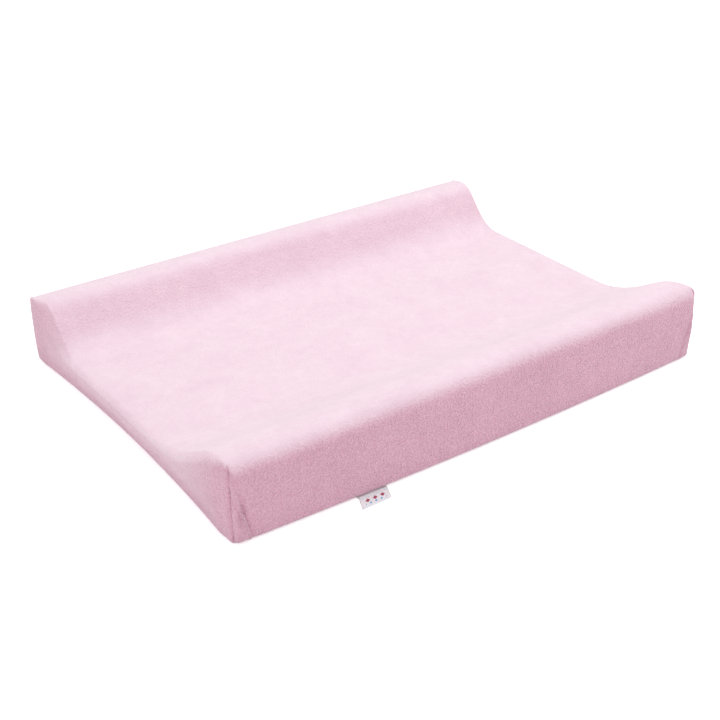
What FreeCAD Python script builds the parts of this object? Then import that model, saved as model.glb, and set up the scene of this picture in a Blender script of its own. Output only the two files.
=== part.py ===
import FreeCAD, Part
import math
import os
import Sketcher

# A soft changing pad: foam base with two raised foam banks along its long sides, a wipe-clean
# liner with piped ends and an underside zip, and a fitted towelling cover with an elastic hem.
# X runs along the pad, +Y to the back bank, +Z up. The origin is the middle of the underside.
# All sizes are in millimetres and live in the sheet; every feature is bound to its cells.

SIZES = [
    ("pad_length", 700.0, "outside length of the covered pad"),
    ("pad_width", 500.0, "outside width of the covered pad"),
    ("peak_height", 98.0, "top of the raised banks"),
    ("trough_height", 45.0, "lying surface"),
    ("bank_width", 100.0, "from the foot of a bank to the pad's edge"),
    ("crest_width", 42.0, "from the top of a bank's slope to the pad's edge"),
    ("toe_radius", 130.0, "sweep of the cover over a bank's foot"),
    ("crest_radius", 30.0, "round at the top of a bank's slope"),
    ("edge_radius", 12.0, "round along the outer top edge"),
    ("base_radius", 6.0, "round along the bottom edge"),
    ("rim_radius", 5.0, "round where the cover turns on to an end"),
    ("least_radius", 0.4, "smallest round followed at an inset"),
    ("cover_thickness", 1.8, "towelling"),
    ("cover_ease", 1.7, "space between cover and liner"),
    ("fabric_gap", 0.2, "clearance between stitched layers"),
    ("flange_width", 45.0, "cover turned under, to the hem"),
    ("hem_corner", 45.0, "plan radius of the hem's corners"),
    ("hem_width", 14.0, "binding seen from below"),
    ("hem_leg", 1.0, "binding thickness"),
    ("flange_tuck", 3.5, "cover edge inside the binding"),
    ("elastic_width", 8.0, "elastic band"),
    ("elastic_thickness", 1.4, "elastic band"),
    ("liner_thickness", 1.0, "coated fabric"),
    ("liner_lift", 8.0, "underside of the liner above the floor"),
    ("piping_radius", 1.1, "cord in the end seams"),
    ("foam_gap", 1.0, "liner to foam"),
    ("zip_margin", 31.0, "hem's inner edge to the end of the teeth"),
    ("zip_pitch", 4.0, "tooth spacing along one row"),
    ("tooth_length", 1.5, "tooth along the zip"),
    ("tooth_reach", 2.6, "row's outer edge from the middle"),
    ("tooth_overlap", 0.8, "tooth past the middle"),
    ("tooth_height", 1.4, "tooth thickness"),
    ("tape_width", 13.0, "zip tape"),
    ("tape_thickness", 0.5, "zip tape"),
    ("tape_edge", 0.6, "tape's inner edge from the middle"),
    ("slider_length", 12.0, "zip slider"),
    ("slider_wall", 1.2, "slider's side walls"),
    ("slider_plate", 1.1, "slider's plate"),
    ("slider_clear", 0.3, "slider to teeth"),
    ("slider_inset", 8.0, "slider's middle from the end of the teeth when shut"),
    ("bridge_bar", 1.0, "bridge thickness"),
    ("bridge_half", 4.6, "half length of the bridge"),
    ("bridge_width", 1.6, "bridge width"),
    ("pull_length", 24.0, "pull tab from its axis"),
    ("pull_half", 3.6, "half width of the pull tab"),
    ("pull_thickness", 1.2, "pull tab"),
    ("window_length", 8.0, "window in the pull tab"),
    ("window_ease", 1.1, "bridge to the window's sides"),
    ("stop_length", 2.4, "zip stops"),
    ("tag_centre", 172.5, "tag's middle, to the left of the pad's middle"),
    ("tag_width", 39.0, "side tag"),
    ("tag_stand", 8.0, "tag's fold in front of the cover's side"),
    ("tag_length", 19.0, "side tag from its fold"),
    ("tag_slant", 8.5, "free end's shift to the left"),
    ("tag_thickness", 0.7, "side tag, folded double"),
    ("tag_root", 20.0, "tag behind its fold, sewn under the cover"),
    ("label_width", 30.0, "care label"),
    ("label_length", 42.0, "care label from the hem's outer line"),
    ("label_thickness", 0.3, "care label"),
]

doc = FreeCAD.newDocument("changing_pad")
sheet = doc.addObject("Spreadsheet::Sheet", "sizes")
for row, (alias, number, note) in enumerate(SIZES, start=1):
    sheet.set(f"A{row}", alias)
    sheet.set(f"B{row}", str(number))
    sheet.set(f"C{row}", note)
    sheet.setAlias(f"B{row}", alias)
doc.recompute()

nodes = []

# Heights and insets that several pieces share, written as expressions of the sheet's cells.
HALF_LENGTH = "sizes.pad_length / 2"
COVER_LIFT = "(sizes.hem_leg + sizes.fabric_gap)"
HEM_SLOT_TOP = "(sizes.hem_leg + sizes.cover_thickness + 2 * sizes.fabric_gap)"
HEM_TOP = f"({HEM_SLOT_TOP} + sizes.hem_leg)"
LINER_INSET = "(sizes.cover_thickness + sizes.cover_ease)"
LINER_TOP = "(sizes.liner_lift + sizes.liner_thickness)"
PIPING_INSET = f"({LINER_INSET} + sizes.liner_thickness / 2)"
PIPING_BASE = "(sizes.liner_lift + sizes.liner_thickness / 2)"
FOAM_INSET = f"({LINER_INSET} + sizes.liner_thickness + sizes.foam_gap)"
FOAM_LIFT = f"({LINER_TOP} + sizes.foam_gap)"
SLAB_TOP = f"(sizes.trough_height - {FOAM_INSET})"
TAPE_BASE = f"({LINER_TOP} + sizes.fabric_gap / 2)"
TOOTH_BASE = f"({TAPE_BASE} - sizes.tooth_height)"
PLATE_TOP = f"({TOOTH_BASE} - sizes.slider_clear)"
PLATE_BASE = f"({PLATE_TOP} - sizes.slider_plate)"
BRIDGE_GAP = "(sizes.pull_thickness + 2 * sizes.slider_clear)"
BRIDGE_TOP = f"({PLATE_BASE} - {BRIDGE_GAP})"
ZIP_HALF = f"({HALF_LENGTH} - sizes.flange_width - sizes.hem_width - sizes.zip_margin)"
SLIDER_X = f"({ZIP_HALF} - sizes.slider_inset)"
SLIDER_INSIDE = "(sizes.tooth_reach + sizes.slider_clear)"
SLIDER_HALF = f"({SLIDER_INSIDE} + sizes.slider_wall)"
SLOT_HALF = f"({SLIDER_HALF} + sizes.slider_clear)"
WINDOW_HALF = "(sizes.bridge_width / 2 + sizes.window_ease)"
SLOPE = "atan((sizes.peak_height - sizes.trough_height) / (sizes.bank_width - sizes.crest_width))"


def inner_radius(radius, inset):
    """The radius of a round that is followed at an inset, never less than a small one."""
    return f"max({radius} - {inset}; sizes.least_radius)"


def number(expression):
    """The expression's present value."""
    return float(sheet.evalExpression(str(expression)))


def keep(obj, label):
    """Give a sub-part its name and list it for writing."""
    obj.Label = label
    nodes.append(obj)
    return obj


def new_body(name):
    return doc.addObject("PartDesign::Body", name)


def new_sketch(body, name, role, lift="0"):
    """A sketch on one of the body's own origin planes, moved along the plane's normal."""
    sketch = body.newObject("Sketcher::SketchObject", name)
    plane = next(f for f in body.Origin.OriginFeatures if f.Role == role)
    sketch.AttachmentSupport = (plane, [""])
    sketch.MapMode = "FlatFace"
    sketch.setExpression(".AttachmentOffset.Base.z", str(lift))
    return sketch


def arc_between(start, end, radius, side):
    """The short arc from start to end, its centre on the left for side 1, on the right for -1."""
    chord = end.sub(start)
    reach = math.sqrt(radius ** 2 - (chord.Length / 2) ** 2)
    left = FreeCAD.Vector(-chord.y, chord.x, 0).normalize()
    centre = start + chord * 0.5 + left * (reach * side)
    angles = [math.atan2(p.y - centre.y, p.x - centre.x) for p in (start, end)]
    if side < 0:
        angles.reverse()
    circle = Part.Circle(centre, FreeCAD.Vector(0, 0, 1), radius)
    return Part.ArcOfCircle(circle, angles[0], angles[1])


def draw_loop(sketch, corners):
    """A closed outline of (across, up, radius, side) points, each coordinate an expression.

    The stretch that leaves a point is an arc of that radius, or a line where radius is None.
    """
    points = [FreeCAD.Vector(number(c[0]), number(c[1]), 0) for c in corners]
    first = sketch.GeometryCount
    for index, (_, _, radius, side) in enumerate(corners):
        start, end = points[index], points[(index + 1) % len(points)]
        if radius is None:
            sketch.addGeometry(Part.LineSegment(start, end), False)
        else:
            sketch.addGeometry(arc_between(start, end, number(radius), side), False)
    count = len(corners)
    ends = [(2, 1) if c[2] is not None and c[3] < 0 else (1, 2) for c in corners]
    for index, (across, up, radius, _) in enumerate(corners):
        here, after = first + index, first + (index + 1) % count
        begin, finish = ends[index]
        sketch.addConstraint(
            Sketcher.Constraint("Coincident", here, finish, after, ends[(index + 1) % count][0]))
        bind(sketch, "DistanceX", (-1, 1, here, begin), across)
        bind(sketch, "DistanceY", (-1, 1, here, begin), up)
        if radius is not None:
            bind(sketch, "Radius", (here,), radius)


def bind(sketch, kind, where, expression):
    """A dimension of the sketch that follows an expression of the sheet."""
    index = sketch.addConstraint(Sketcher.Constraint(kind, *where, number(expression)))
    sketch.setExpression(f"Constraints[{index}]", str(expression))


def mirror_across(corners):
    """The outline's left half from its right half, walked on round."""
    flipped = []
    for index in range(len(corners) - 1, -1, -1):
        across, up = corners[index][0], corners[index][1]
        radius, side = corners[index - 1][2], corners[index - 1][3]
        if index == 0:
            radius, side = None, 1
        flipped.append((f"-({across})", up, radius, side))
    return flipped


def bank_corners(inset):
    """The banked edge of an outline that lies the given inset inside the cover's outer face."""
    edge = f"(sizes.pad_width / 2 - {inset})"
    top = f"(sizes.peak_height - {inset})"
    shift = f"{inset} * tan({SLOPE} / 2)"
    crest = f"(sizes.pad_width / 2 - sizes.crest_width + {shift})"
    crest_radius = f"(sizes.crest_radius - {inset})"
    crest_run = f"{crest_radius} * tan({SLOPE} / 2)"
    edge_radius = inner_radius("sizes.edge_radius", inset)
    return [
        (edge, f"{top} - {edge_radius}", edge_radius, 1),
        (f"{edge} - {edge_radius}", top, None, 1),
        (f"{crest} + {crest_run}", top, crest_radius, 1),
        (f"{crest} - {crest_run} * cos({SLOPE})", f"{top} - {crest_run} * sin({SLOPE})", None, 1),
    ]


def toe_place(inset):
    """Where a bank's slope meets the lying surface, before it is rounded."""
    shift = f"{inset} * tan({SLOPE} / 2)"
    return (f"(sizes.pad_width / 2 - sizes.bank_width + {shift})",
            f"(sizes.trough_height - {inset})")


def section_corners(inset, base, base_radius):
    """The whole cross-section: flat base, banked sides and the swept foot of each bank."""
    edge = f"(sizes.pad_width / 2 - {inset})"
    toe, trough = toe_place(inset)
    toe_radius = f"(sizes.toe_radius + {inset})"
    toe_run = f"{toe_radius} * tan({SLOPE} / 2)"
    right = [
        (f"{edge} - {base_radius}", base, base_radius, 1),
        (edge, f"{base} + {base_radius}", None, 1),
        *bank_corners(inset),
        (f"{toe} + {toe_run} * cos({SLOPE})", f"{trough} + {toe_run} * sin({SLOPE})",
         toe_radius, -1),
        (f"{toe} - {toe_run}", trough, None, 1),
    ]
    return right + mirror_across(right)


def rounded_rectangle(half_x, half_y, radius):
    """A plan outline about the origin."""
    right = [
        (f"{half_x} - {radius}", f"-({half_y})", radius, 1),
        (half_x, f"-({half_y} - {radius})", None, 1),
        (half_x, f"{half_y} - {radius}", radius, 1),
        (f"{half_x} - {radius}", half_y, None, 1),
    ]
    left = [
        (f"-({half_x} - {radius})", half_y, radius, 1),
        (f"-({half_x})", f"{half_y} - {radius}", None, 1),
        (f"-({half_x})", f"-({half_y} - {radius})", radius, 1),
        (f"-({half_x} - {radius})", f"-({half_y})", None, 1),
    ]
    return right + left


def pad_sketch(body, name, sketch, length, both_ways=False):
    """Thicken a sketch along its normal."""
    pad = body.newObject("PartDesign::Pad", name)
    pad.Profile = sketch
    pad.setExpression("Length", str(length))
    pad.Midplane = both_ways
    doc.recompute()
    return pad


def padded_form(name, inset, base, base_radius, rim_radius):
    """The pad's full shape at an inset: the section along the pad with its end rims rounded."""
    body = new_body(name)
    sketch = new_sketch(body, f"{name}_section", "YZ_Plane")
    draw_loop(sketch, section_corners(inset, base, base_radius))
    pad = pad_sketch(body, f"{name}_length", sketch, f"sizes.pad_length - 2 * {inset}", True)
    end = number(f"{HALF_LENGTH} - {inset}")
    rims = [f"Edge{i}" for i, edge in enumerate(pad.Shape.Edges, start=1)
            if all(abs(abs(v.X) - end) < 0.001 for v in edge.Vertexes)
            and edge.BoundBox.XLength < 0.001]
    fillet = body.newObject("PartDesign::Fillet", f"{name}_rims")
    fillet.Base = (pad, rims)
    fillet.setExpression("Radius", rim_radius)
    doc.recompute()
    return body


def plan_block(name, lift, height, corners):
    """A straight-sided block on a plan outline."""
    body = new_body(name)
    sketch = new_sketch(body, f"{name}_plan", "XY_Plane", lift)
    draw_loop(sketch, corners)
    pad_sketch(body, f"{name}_height", sketch, height)
    return body


def box(label, sizes, corner):
    """A rectangular sub-part: its three sizes and its lowest corner, all expressions."""
    solid = doc.addObject("Part::Box", label)
    for side, expression in zip(("Length", "Width", "Height"), sizes):
        solid.setExpression(side, str(expression))
    for axis, expression in zip("xyz", corner):
        solid.setExpression(f".Placement.Base.{axis}", str(expression))
    return keep(solid, label)


def hem_outline(inward):
    """The hem's plan outline, moved inward from its outer line."""
    half_x = f"({HALF_LENGTH} - sizes.flange_width - {inward})"
    half_y = f"(sizes.pad_width / 2 - sizes.flange_width - {inward})"
    return rounded_rectangle(half_x, half_y, f"(sizes.hem_corner - {inward})")


def make_foam():
    """One flat slab with a bank glued on along each long side."""
    half_width = f"(sizes.pad_width / 2 - {FOAM_INSET})"
    box("foam_base_slab",
        (f"sizes.pad_length - 2 * {FOAM_INSET}", f"2 * {half_width}", f"{SLAB_TOP} - {FOAM_LIFT}"),
        (f"{FOAM_INSET} - {HALF_LENGTH}", f"-{half_width}", FOAM_LIFT))
    toe, _ = toe_place(FOAM_INSET)
    for label, sign in (("foam_wedge_front", -1), ("foam_wedge_back", 1)):
        corners = [(toe, SLAB_TOP, None, 1), (half_width, SLAB_TOP, None, 1),
                   *bank_corners(FOAM_INSET)]
        if sign < 0:
            corners = mirror_loop(corners)
        body = keep(new_body(label), label)
        sketch = new_sketch(body, f"{label}_section", "YZ_Plane")
        draw_loop(sketch, corners)
        pad_sketch(body, f"{label}_length", sketch, f"sizes.pad_length - 2 * {FOAM_INSET}", True)


def mirror_loop(corners):
    """A closed outline flipped to the other side and walked the same way round."""
    count = len(corners)
    return [(f"-({corners[i][0]})", corners[i][1], corners[i - 1][2], corners[i - 1][3])
            for i in range(count - 1, -1, -1)]


def section_band(body, name, outer, inner, length, middle):
    """A closed band round the section, between two (inset, base, base radius) outlines."""
    sketch = new_sketch(body, f"{name}_section", "YZ_Plane", middle)
    draw_loop(sketch, section_corners(*outer))
    draw_loop(sketch, section_corners(*inner))
    return pad_sketch(body, f"{name}_length", sketch, length, True)


def make_liner():
    """Wrap panel with its zip slot, two end panels, and the piping between them."""
    thickness = "sizes.liner_thickness"
    inside = f"({LINER_INSET} + {thickness})"
    outer = (LINER_INSET, "sizes.liner_lift", inner_radius("sizes.base_radius", LINER_INSET))
    inner = (inside, LINER_TOP, inner_radius("sizes.base_radius", inside))
    seam = "(sizes.piping_radius + sizes.fabric_gap)"
    piping_x = f"({HALF_LENGTH} - {PIPING_INSET})"
    wrap = keep(new_body("liner_wrap_panel"), "liner_wrap_panel")
    section_band(wrap, "wrap", outer, inner, f"2 * ({piping_x} - {seam})", "0")
    slot = new_sketch(wrap, "wrap_slot_plan", "XY_Plane", "sizes.liner_lift / 2")
    slot_half_x = f"({ZIP_HALF} + sizes.stop_length * 2)"
    draw_loop(slot, rounded_rectangle(slot_half_x, SLOT_HALF, f"{SLOT_HALF} / 2"))
    pocket = wrap.newObject("PartDesign::Pocket", "wrap_slot")
    pocket.Profile = slot
    pocket.Reversed = True
    pocket.setExpression("Length", "sizes.liner_lift")
    doc.recompute()

    panel_inset = f"({PIPING_INSET} + {seam})"
    panel = section_corners(panel_inset, f"({PIPING_BASE} + {seam})", "sizes.piping_radius / 2")
    for side, sign in (("left", -1), ("right", 1)):
        label = f"liner_end_panel_{side}"
        body = keep(new_body(label), label)
        sketch = new_sketch(body, f"{label}_section", "YZ_Plane", f"{sign} * {piping_x}")
        draw_loop(sketch, panel)
        pad_sketch(body, f"{label}_thickness", sketch, thickness, True)

        label = f"liner_piping_{side}"
        body = keep(new_body(label), label)
        rings = [(f"({PIPING_INSET} {way} sizes.piping_radius)",
                  f"({PIPING_BASE} {way} sizes.piping_radius)",
                  inner_radius("sizes.base_radius", f"({PIPING_INSET} {way} sizes.piping_radius)"))
                 for way in "-+"]
        cord = section_band(body, label, *rings, "2 * sizes.piping_radius", f"{sign} * {piping_x}")
        edges = [f"Edge{i}" for i, edge in enumerate(cord.Shape.Edges, start=1)
                 if edge.BoundBox.XLength < 0.001]
        fillet = body.newObject("PartDesign::Fillet", f"{label}_round")
        fillet.Base = (cord, edges)
        fillet.setExpression("Radius", "sizes.piping_radius * 0.8")
        doc.recompute()


def make_zip_rows():
    """Two tapes sewn inside the slot's edges, and a row of interlocking teeth on each."""
    tape_length = f"(2 * {ZIP_HALF} + 8 * sizes.stop_length)"
    for label, sign in (("front", -1), ("back", 1)):
        low = "sizes.tape_edge" if sign > 0 else "-(sizes.tape_edge + sizes.tape_width)"
        box(f"zip_tape_{label}", (tape_length, "sizes.tape_width", "sizes.tape_thickness"),
            (f"-{tape_length} / 2", low, TAPE_BASE))
        make_teeth(f"zip_teeth_{label}", sign)


def make_teeth(label, sign):
    """A moulded bead along the tape with one tooth repeated along it."""
    body = keep(new_body(label), label)
    bead_low = "(sizes.tooth_overlap + sizes.fabric_gap)"
    across = (bead_low, "sizes.tooth_reach")
    bead = new_sketch(body, f"{label}_bead_plan", "XY_Plane", TOOTH_BASE)
    draw_rectangle(bead, (f"-{ZIP_HALF}", ZIP_HALF), across, sign)
    pad_sketch(body, f"{label}_bead", bead, "sizes.tooth_height")
    tooth = new_sketch(body, f"{label}_tooth_plan", "XY_Plane", TOOTH_BASE)
    start = f"(-{ZIP_HALF} + {(2 - sign) / 4} * sizes.zip_pitch)"
    along = (f"{start} - sizes.tooth_length / 2", f"{start} + sizes.tooth_length / 2")
    draw_rectangle(tooth, along, ("-sizes.tooth_overlap", "sizes.tooth_reach"), sign)
    pad = pad_sketch(body, f"{label}_tooth", tooth, "sizes.tooth_height")
    pattern = body.newObject("PartDesign::LinearPattern", f"{label}_row")
    pattern.Originals = [pad]
    pattern.Direction = (tooth, ["H_Axis"])
    teeth = f"floor(2 * {ZIP_HALF} / sizes.zip_pitch)"
    pattern.setExpression("Occurrences", teeth)
    pattern.setExpression("Length", f"({teeth} - 1) * sizes.zip_pitch")
    body.Tip = pattern
    doc.recompute()


def draw_rectangle(sketch, along, across, sign=1):
    """A rectangle; the across pair is flipped to the other side for sign -1."""
    low, high = across if sign > 0 else (f"-({across[1]})", f"-({across[0]})")
    corners = [(along[0], low), (along[1], low), (along[1], high), (along[0], high)]
    draw_loop(sketch, [(x, y, None, 1) for x, y in corners])


def make_slider():
    """A saddle that runs over the teeth, with a bridge under it for the pull tab."""
    body = keep(new_body("zip_slider"), "zip_slider")
    wall_top = f"({TAPE_BASE} - sizes.fabric_gap)"
    outline = [(SLIDER_HALF, PLATE_BASE), (SLIDER_HALF, wall_top), (SLIDER_INSIDE, wall_top),
               (SLIDER_INSIDE, PLATE_TOP), (f"-{SLIDER_INSIDE}", PLATE_TOP),
               (f"-{SLIDER_INSIDE}", wall_top), (f"-{SLIDER_HALF}", wall_top),
               (f"-{SLIDER_HALF}", PLATE_BASE)]
    saddle = new_sketch(body, "saddle_section", "YZ_Plane", SLIDER_X)
    draw_loop(saddle, [(y, z, None, 1) for y, z in outline])
    pad_sketch(body, "saddle", saddle, "sizes.slider_length", True)
    bridge = new_sketch(body, "bridge_outline", "XZ_Plane")
    bar_base = f"({BRIDGE_TOP} - sizes.bridge_bar)"
    post = "(sizes.bridge_half - sizes.bridge_bar)"
    staple = [("-sizes.bridge_half", bar_base), ("sizes.bridge_half", bar_base),
              ("sizes.bridge_half", PLATE_BASE), (post, PLATE_BASE), (post, BRIDGE_TOP),
              (f"-{post}", BRIDGE_TOP), (f"-{post}", PLATE_BASE),
              ("-sizes.bridge_half", PLATE_BASE)]
    draw_loop(bridge, [(f"{SLIDER_X} + {x}", z, None, 1) for x, z in staple])
    pad_sketch(body, "bridge", bridge, "sizes.bridge_width", True)


def make_pull():
    """A flat tab with a window, and a round bar across it that turns under the bridge."""
    body = keep(new_body("zip_pull"), "zip_pull")
    bar_height = f"({BRIDGE_TOP} + {BRIDGE_GAP} / 2)"
    tab = new_sketch(body, "tab_plan", "XY_Plane", f"{bar_height} - sizes.pull_thickness / 2")
    tip = f"({SLIDER_X} + sizes.pull_length)"
    bend = "sizes.pull_half * 0.6"
    outline = [
        (SLIDER_X, "-sizes.pull_half", None, 1),
        (f"{tip} - {bend}", "-sizes.pull_half", bend, 1),
        (tip, f"-(sizes.pull_half - {bend})", None, 1),
        (tip, f"sizes.pull_half - {bend}", bend, 1),
        (f"{tip} - {bend}", "sizes.pull_half", None, 1),
        (SLIDER_X, "sizes.pull_half", None, 1),
        (SLIDER_X, WINDOW_HALF, None, 1),
        (f"{SLIDER_X} + sizes.window_length", WINDOW_HALF, None, 1),
        (f"{SLIDER_X} + sizes.window_length", f"-{WINDOW_HALF}", None, 1),
        (SLIDER_X, f"-{WINDOW_HALF}", None, 1),
    ]
    draw_loop(tab, outline)
    pad_sketch(body, "tab", tab, "sizes.pull_thickness")
    bar = new_sketch(body, "bar_section", "XZ_Plane")
    bar.addGeometry(Part.Circle(FreeCAD.Vector(number(SLIDER_X), number(bar_height), 0),
                                FreeCAD.Vector(0, 0, 1), number("sizes.pull_thickness / 2")))
    bind(bar, "DistanceX", (-1, 1, 0, 3), SLIDER_X)
    bind(bar, "DistanceY", (-1, 1, 0, 3), bar_height)
    bind(bar, "Radius", (0,), "sizes.pull_thickness / 2")
    pad_sketch(body, "bar", bar, "2 * sizes.pull_half", True)


def make_stops():
    """A pair of stops past the shut end of the teeth and one wider stop at the other end."""
    body = keep(new_body("zip_top_stops"), "zip_top_stops")
    body.AllowCompound = True
    plan = new_sketch(body, "top_stops_plan", "XY_Plane", TOOTH_BASE)
    start = f"({ZIP_HALF} + sizes.fabric_gap)"
    for sign in (-1, 1):
        draw_rectangle(plan, (start, f"{start} + sizes.stop_length"),
                       ("sizes.tape_edge", "sizes.tooth_reach"), sign)
    pad_sketch(body, "top_stops", plan, "sizes.tooth_height")
    box("zip_bottom_stop", ("sizes.stop_length", "2 * sizes.tooth_reach", "sizes.tooth_height"),
        (f"-{start} - sizes.stop_length", "-sizes.tooth_reach", TOOTH_BASE))


def make_cover():
    """The fitted cover: a closed skin turned under all round, open inside the hem."""
    outer = padded_form("cover_outside", "0", COVER_LIFT, "sizes.base_radius", "sizes.rim_radius")
    inner = padded_form("cover_inside", "sizes.cover_thickness",
                        f"({COVER_LIFT} + sizes.cover_thickness)",
                        inner_radius("sizes.base_radius", "sizes.cover_thickness"),
                        inner_radius("sizes.rim_radius", "sizes.cover_thickness"))
    skin = doc.addObject("Part::Cut", "cover_skin")
    skin.Base = outer
    skin.Tool = inner
    opening = plan_block("cover_opening", "0", "sizes.liner_lift", hem_outline("sizes.flange_tuck"))
    cover = doc.addObject("Part::Cut", "fitted_cover")
    cover.Base = skin
    cover.Tool = opening
    keep(cover, "fitted_cover")


def make_hem():
    """The binding folded round the cover's edge, and the elastic band in its channel."""
    body = keep(new_body("hem_binding"), "hem_binding")
    plan = new_sketch(body, "binding_plan", "XY_Plane")
    draw_loop(plan, hem_outline("0"))
    draw_loop(plan, hem_outline("sizes.hem_width"))
    pad_sketch(body, "binding", plan, HEM_TOP)
    channel = new_sketch(body, "channel_plan", "XY_Plane", "sizes.hem_leg")
    draw_loop(channel, hem_outline("(-sizes.hem_leg)"))
    draw_loop(channel, hem_outline("(sizes.hem_width - sizes.hem_leg)"))
    groove = body.newObject("PartDesign::Pocket", "channel")
    groove.Profile = channel
    groove.Reversed = True
    groove.setExpression("Length", f"{HEM_SLOT_TOP} - sizes.hem_leg")
    doc.recompute()

    band = keep(new_body("hem_elastic"), "hem_elastic")
    inward = "(sizes.flange_tuck + 5 * sizes.fabric_gap)"
    lift = f"(sizes.hem_leg + ({HEM_SLOT_TOP} - sizes.hem_leg - sizes.elastic_thickness) / 2)"
    plan = new_sketch(band, "elastic_plan", "XY_Plane", lift)
    draw_loop(plan, hem_outline(inward))
    draw_loop(plan, hem_outline(f"({inward} + sizes.elastic_width)"))
    pad_sketch(band, "elastic", plan, "sizes.elastic_thickness")


def make_labels():
    """The folded tag at the front edge, its sewn root, and the care label on the hem."""
    left = "-(sizes.tag_centre + sizes.tag_width / 2)"
    right = "-(sizes.tag_centre - sizes.tag_width / 2)"
    front = "(sizes.pad_width / 2 + sizes.tag_stand)"
    lift = "sizes.fabric_gap"
    tag = keep(new_body("side_tag"), "side_tag")
    flap = new_sketch(tag, "flap_plan", "XY_Plane", lift)
    tip = f"-({front} + sizes.tag_length)"
    draw_loop(flap, [(f"{left} - sizes.tag_slant", tip, None, 1),
                     (f"{right} - sizes.tag_slant", tip, None, 1),
                     (right, f"-{front}", None, 1), (left, f"-{front}", None, 1)])
    pad_sketch(tag, "flap", flap, "sizes.tag_thickness")
    root_gap = "(sizes.tag_thickness / 2 + sizes.fabric_gap)"
    box("side_tag_root", ("sizes.tag_width", "sizes.tag_root", "sizes.tag_thickness"),
        (left, f"-{front} + {root_gap}", lift))
    box("care_label", ("sizes.label_length", "sizes.label_width", "sizes.label_thickness"),
        (f"-({HALF_LENGTH} - sizes.flange_width)", "-sizes.label_width / 2",
         f"{HEM_TOP} + sizes.fabric_gap"))


def check_model():
    """Stop if any feature failed or any sub-part isn't a sound solid."""
    doc.recompute()
    for obj in doc.Objects:
        bad = [word for word in obj.State if word in ("Invalid", "Error")]
        if bad:
            raise RuntimeError(f"{obj.Name}: {bad}")
    for obj in nodes:
        shape = obj.Shape
        if shape.isNull() or not shape.isValid() or not shape.Solids or shape.Volume <= 0:
            raise RuntimeError(f"{obj.Label}: no sound solid")


def write_parts():
    os.makedirs("parts", exist_ok=True)
    for obj in nodes:
        obj.Shape.exportStep(f"parts/{obj.Label}.step")
        span = obj.Shape.BoundBox
        print(f"{obj.Label}: {len(obj.Shape.Solids)} solid(s), {obj.Shape.Volume / 1000:.2f} cm3, "
              f"{span.XLength:.1f} x {span.YLength:.1f} x {span.ZLength:.1f}")


make_foam()
make_liner()
make_zip_rows()
make_slider()
make_pull()
make_stops()
make_cover()
make_hem()
make_labels()
check_model()
write_parts()
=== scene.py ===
import math

import bpy
import numpy as np
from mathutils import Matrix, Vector


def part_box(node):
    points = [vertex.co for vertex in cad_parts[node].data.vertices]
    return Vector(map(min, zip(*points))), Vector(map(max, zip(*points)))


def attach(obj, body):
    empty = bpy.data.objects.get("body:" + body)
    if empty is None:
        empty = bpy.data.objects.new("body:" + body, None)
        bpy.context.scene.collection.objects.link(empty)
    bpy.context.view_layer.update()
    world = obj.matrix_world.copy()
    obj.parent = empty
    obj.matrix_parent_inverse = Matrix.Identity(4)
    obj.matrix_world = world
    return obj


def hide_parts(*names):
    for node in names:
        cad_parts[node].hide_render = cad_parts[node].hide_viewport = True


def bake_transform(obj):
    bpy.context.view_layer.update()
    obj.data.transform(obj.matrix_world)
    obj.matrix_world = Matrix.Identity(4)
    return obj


bl_info = {
    "name": "Changing Pad",
    "version": (1, 0, 0),
    "blender": (4, 5, 0),
    "location": "View3D > Sidebar > Changing Pad",
    "description": "A foam changing pad in a fitted towelling cover, with its liner, zip and labels",
    "category": "Add Mesh",
}

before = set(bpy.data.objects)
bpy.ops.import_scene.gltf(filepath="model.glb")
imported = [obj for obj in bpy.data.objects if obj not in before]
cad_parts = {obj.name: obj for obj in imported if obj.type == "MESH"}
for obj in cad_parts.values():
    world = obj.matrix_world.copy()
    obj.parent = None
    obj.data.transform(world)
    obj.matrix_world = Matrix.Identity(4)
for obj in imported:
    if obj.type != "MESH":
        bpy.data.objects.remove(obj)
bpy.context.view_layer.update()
FIXED = "pad"
MM = 0.001


# ---------------------------------------------------------------- mesh helpers

def smooth_step(x):
    x = np.clip(x, 0, 1)
    return x * x * (3 - 2 * x)


def soft_max(a, b, blend):
    """The larger of two heights, rounded over where they cross."""
    near = np.maximum(blend - np.abs(a - b), 0) / blend
    return np.maximum(a, b) + near * near * blend / 4


def soft_min(a, b, blend):
    return -soft_max(-a, -b, blend)


def wander(s, period, seed, layers=3):
    """A smooth, irregular wave between about -1 and 1 along s, the same each time."""
    rng = np.random.default_rng(seed)
    total = np.zeros_like(s)
    for layer in range(layers):
        turns = rng.uniform(0.7, 1.5) * (1.6 ** layer)
        total += np.sin(2 * math.pi * s * turns / period + rng.uniform(0, 6.28)) / (1.4 ** layer)
    return total / sum(1 / 1.4 ** layer for layer in range(layers))


def grid_faces(rows, columns, wrap=False, start=0, closed=False):
    """Quads over points stored row by row; wrap joins the end columns, and closed the end rows."""
    def at(i, j):
        return start + i % rows * columns + j % columns
    return [(at(i, j), at(i, j + 1), at(i + 1, j + 1), at(i + 1, j))
            for i in range(rows if closed else rows - 1)
            for j in range(columns if wrap else columns - 1)]


def flipped(faces):
    return [(a, d, c, b) for a, b, c, d in faces]


def make_piece(name, points, faces, material, body=FIXED):
    """A mesh object made from points and faces, riding on a body."""
    mesh = bpy.data.meshes.new(name)
    mesh.from_pydata([tuple(p) for p in points], [], faces)
    mesh.materials.append(material)
    mesh.shade_smooth()
    mesh.validate()
    mesh.update()
    piece = bpy.data.objects.new(name, mesh)
    bpy.context.scene.collection.objects.link(piece)
    if body:
        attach(piece, body)
    return piece


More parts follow.
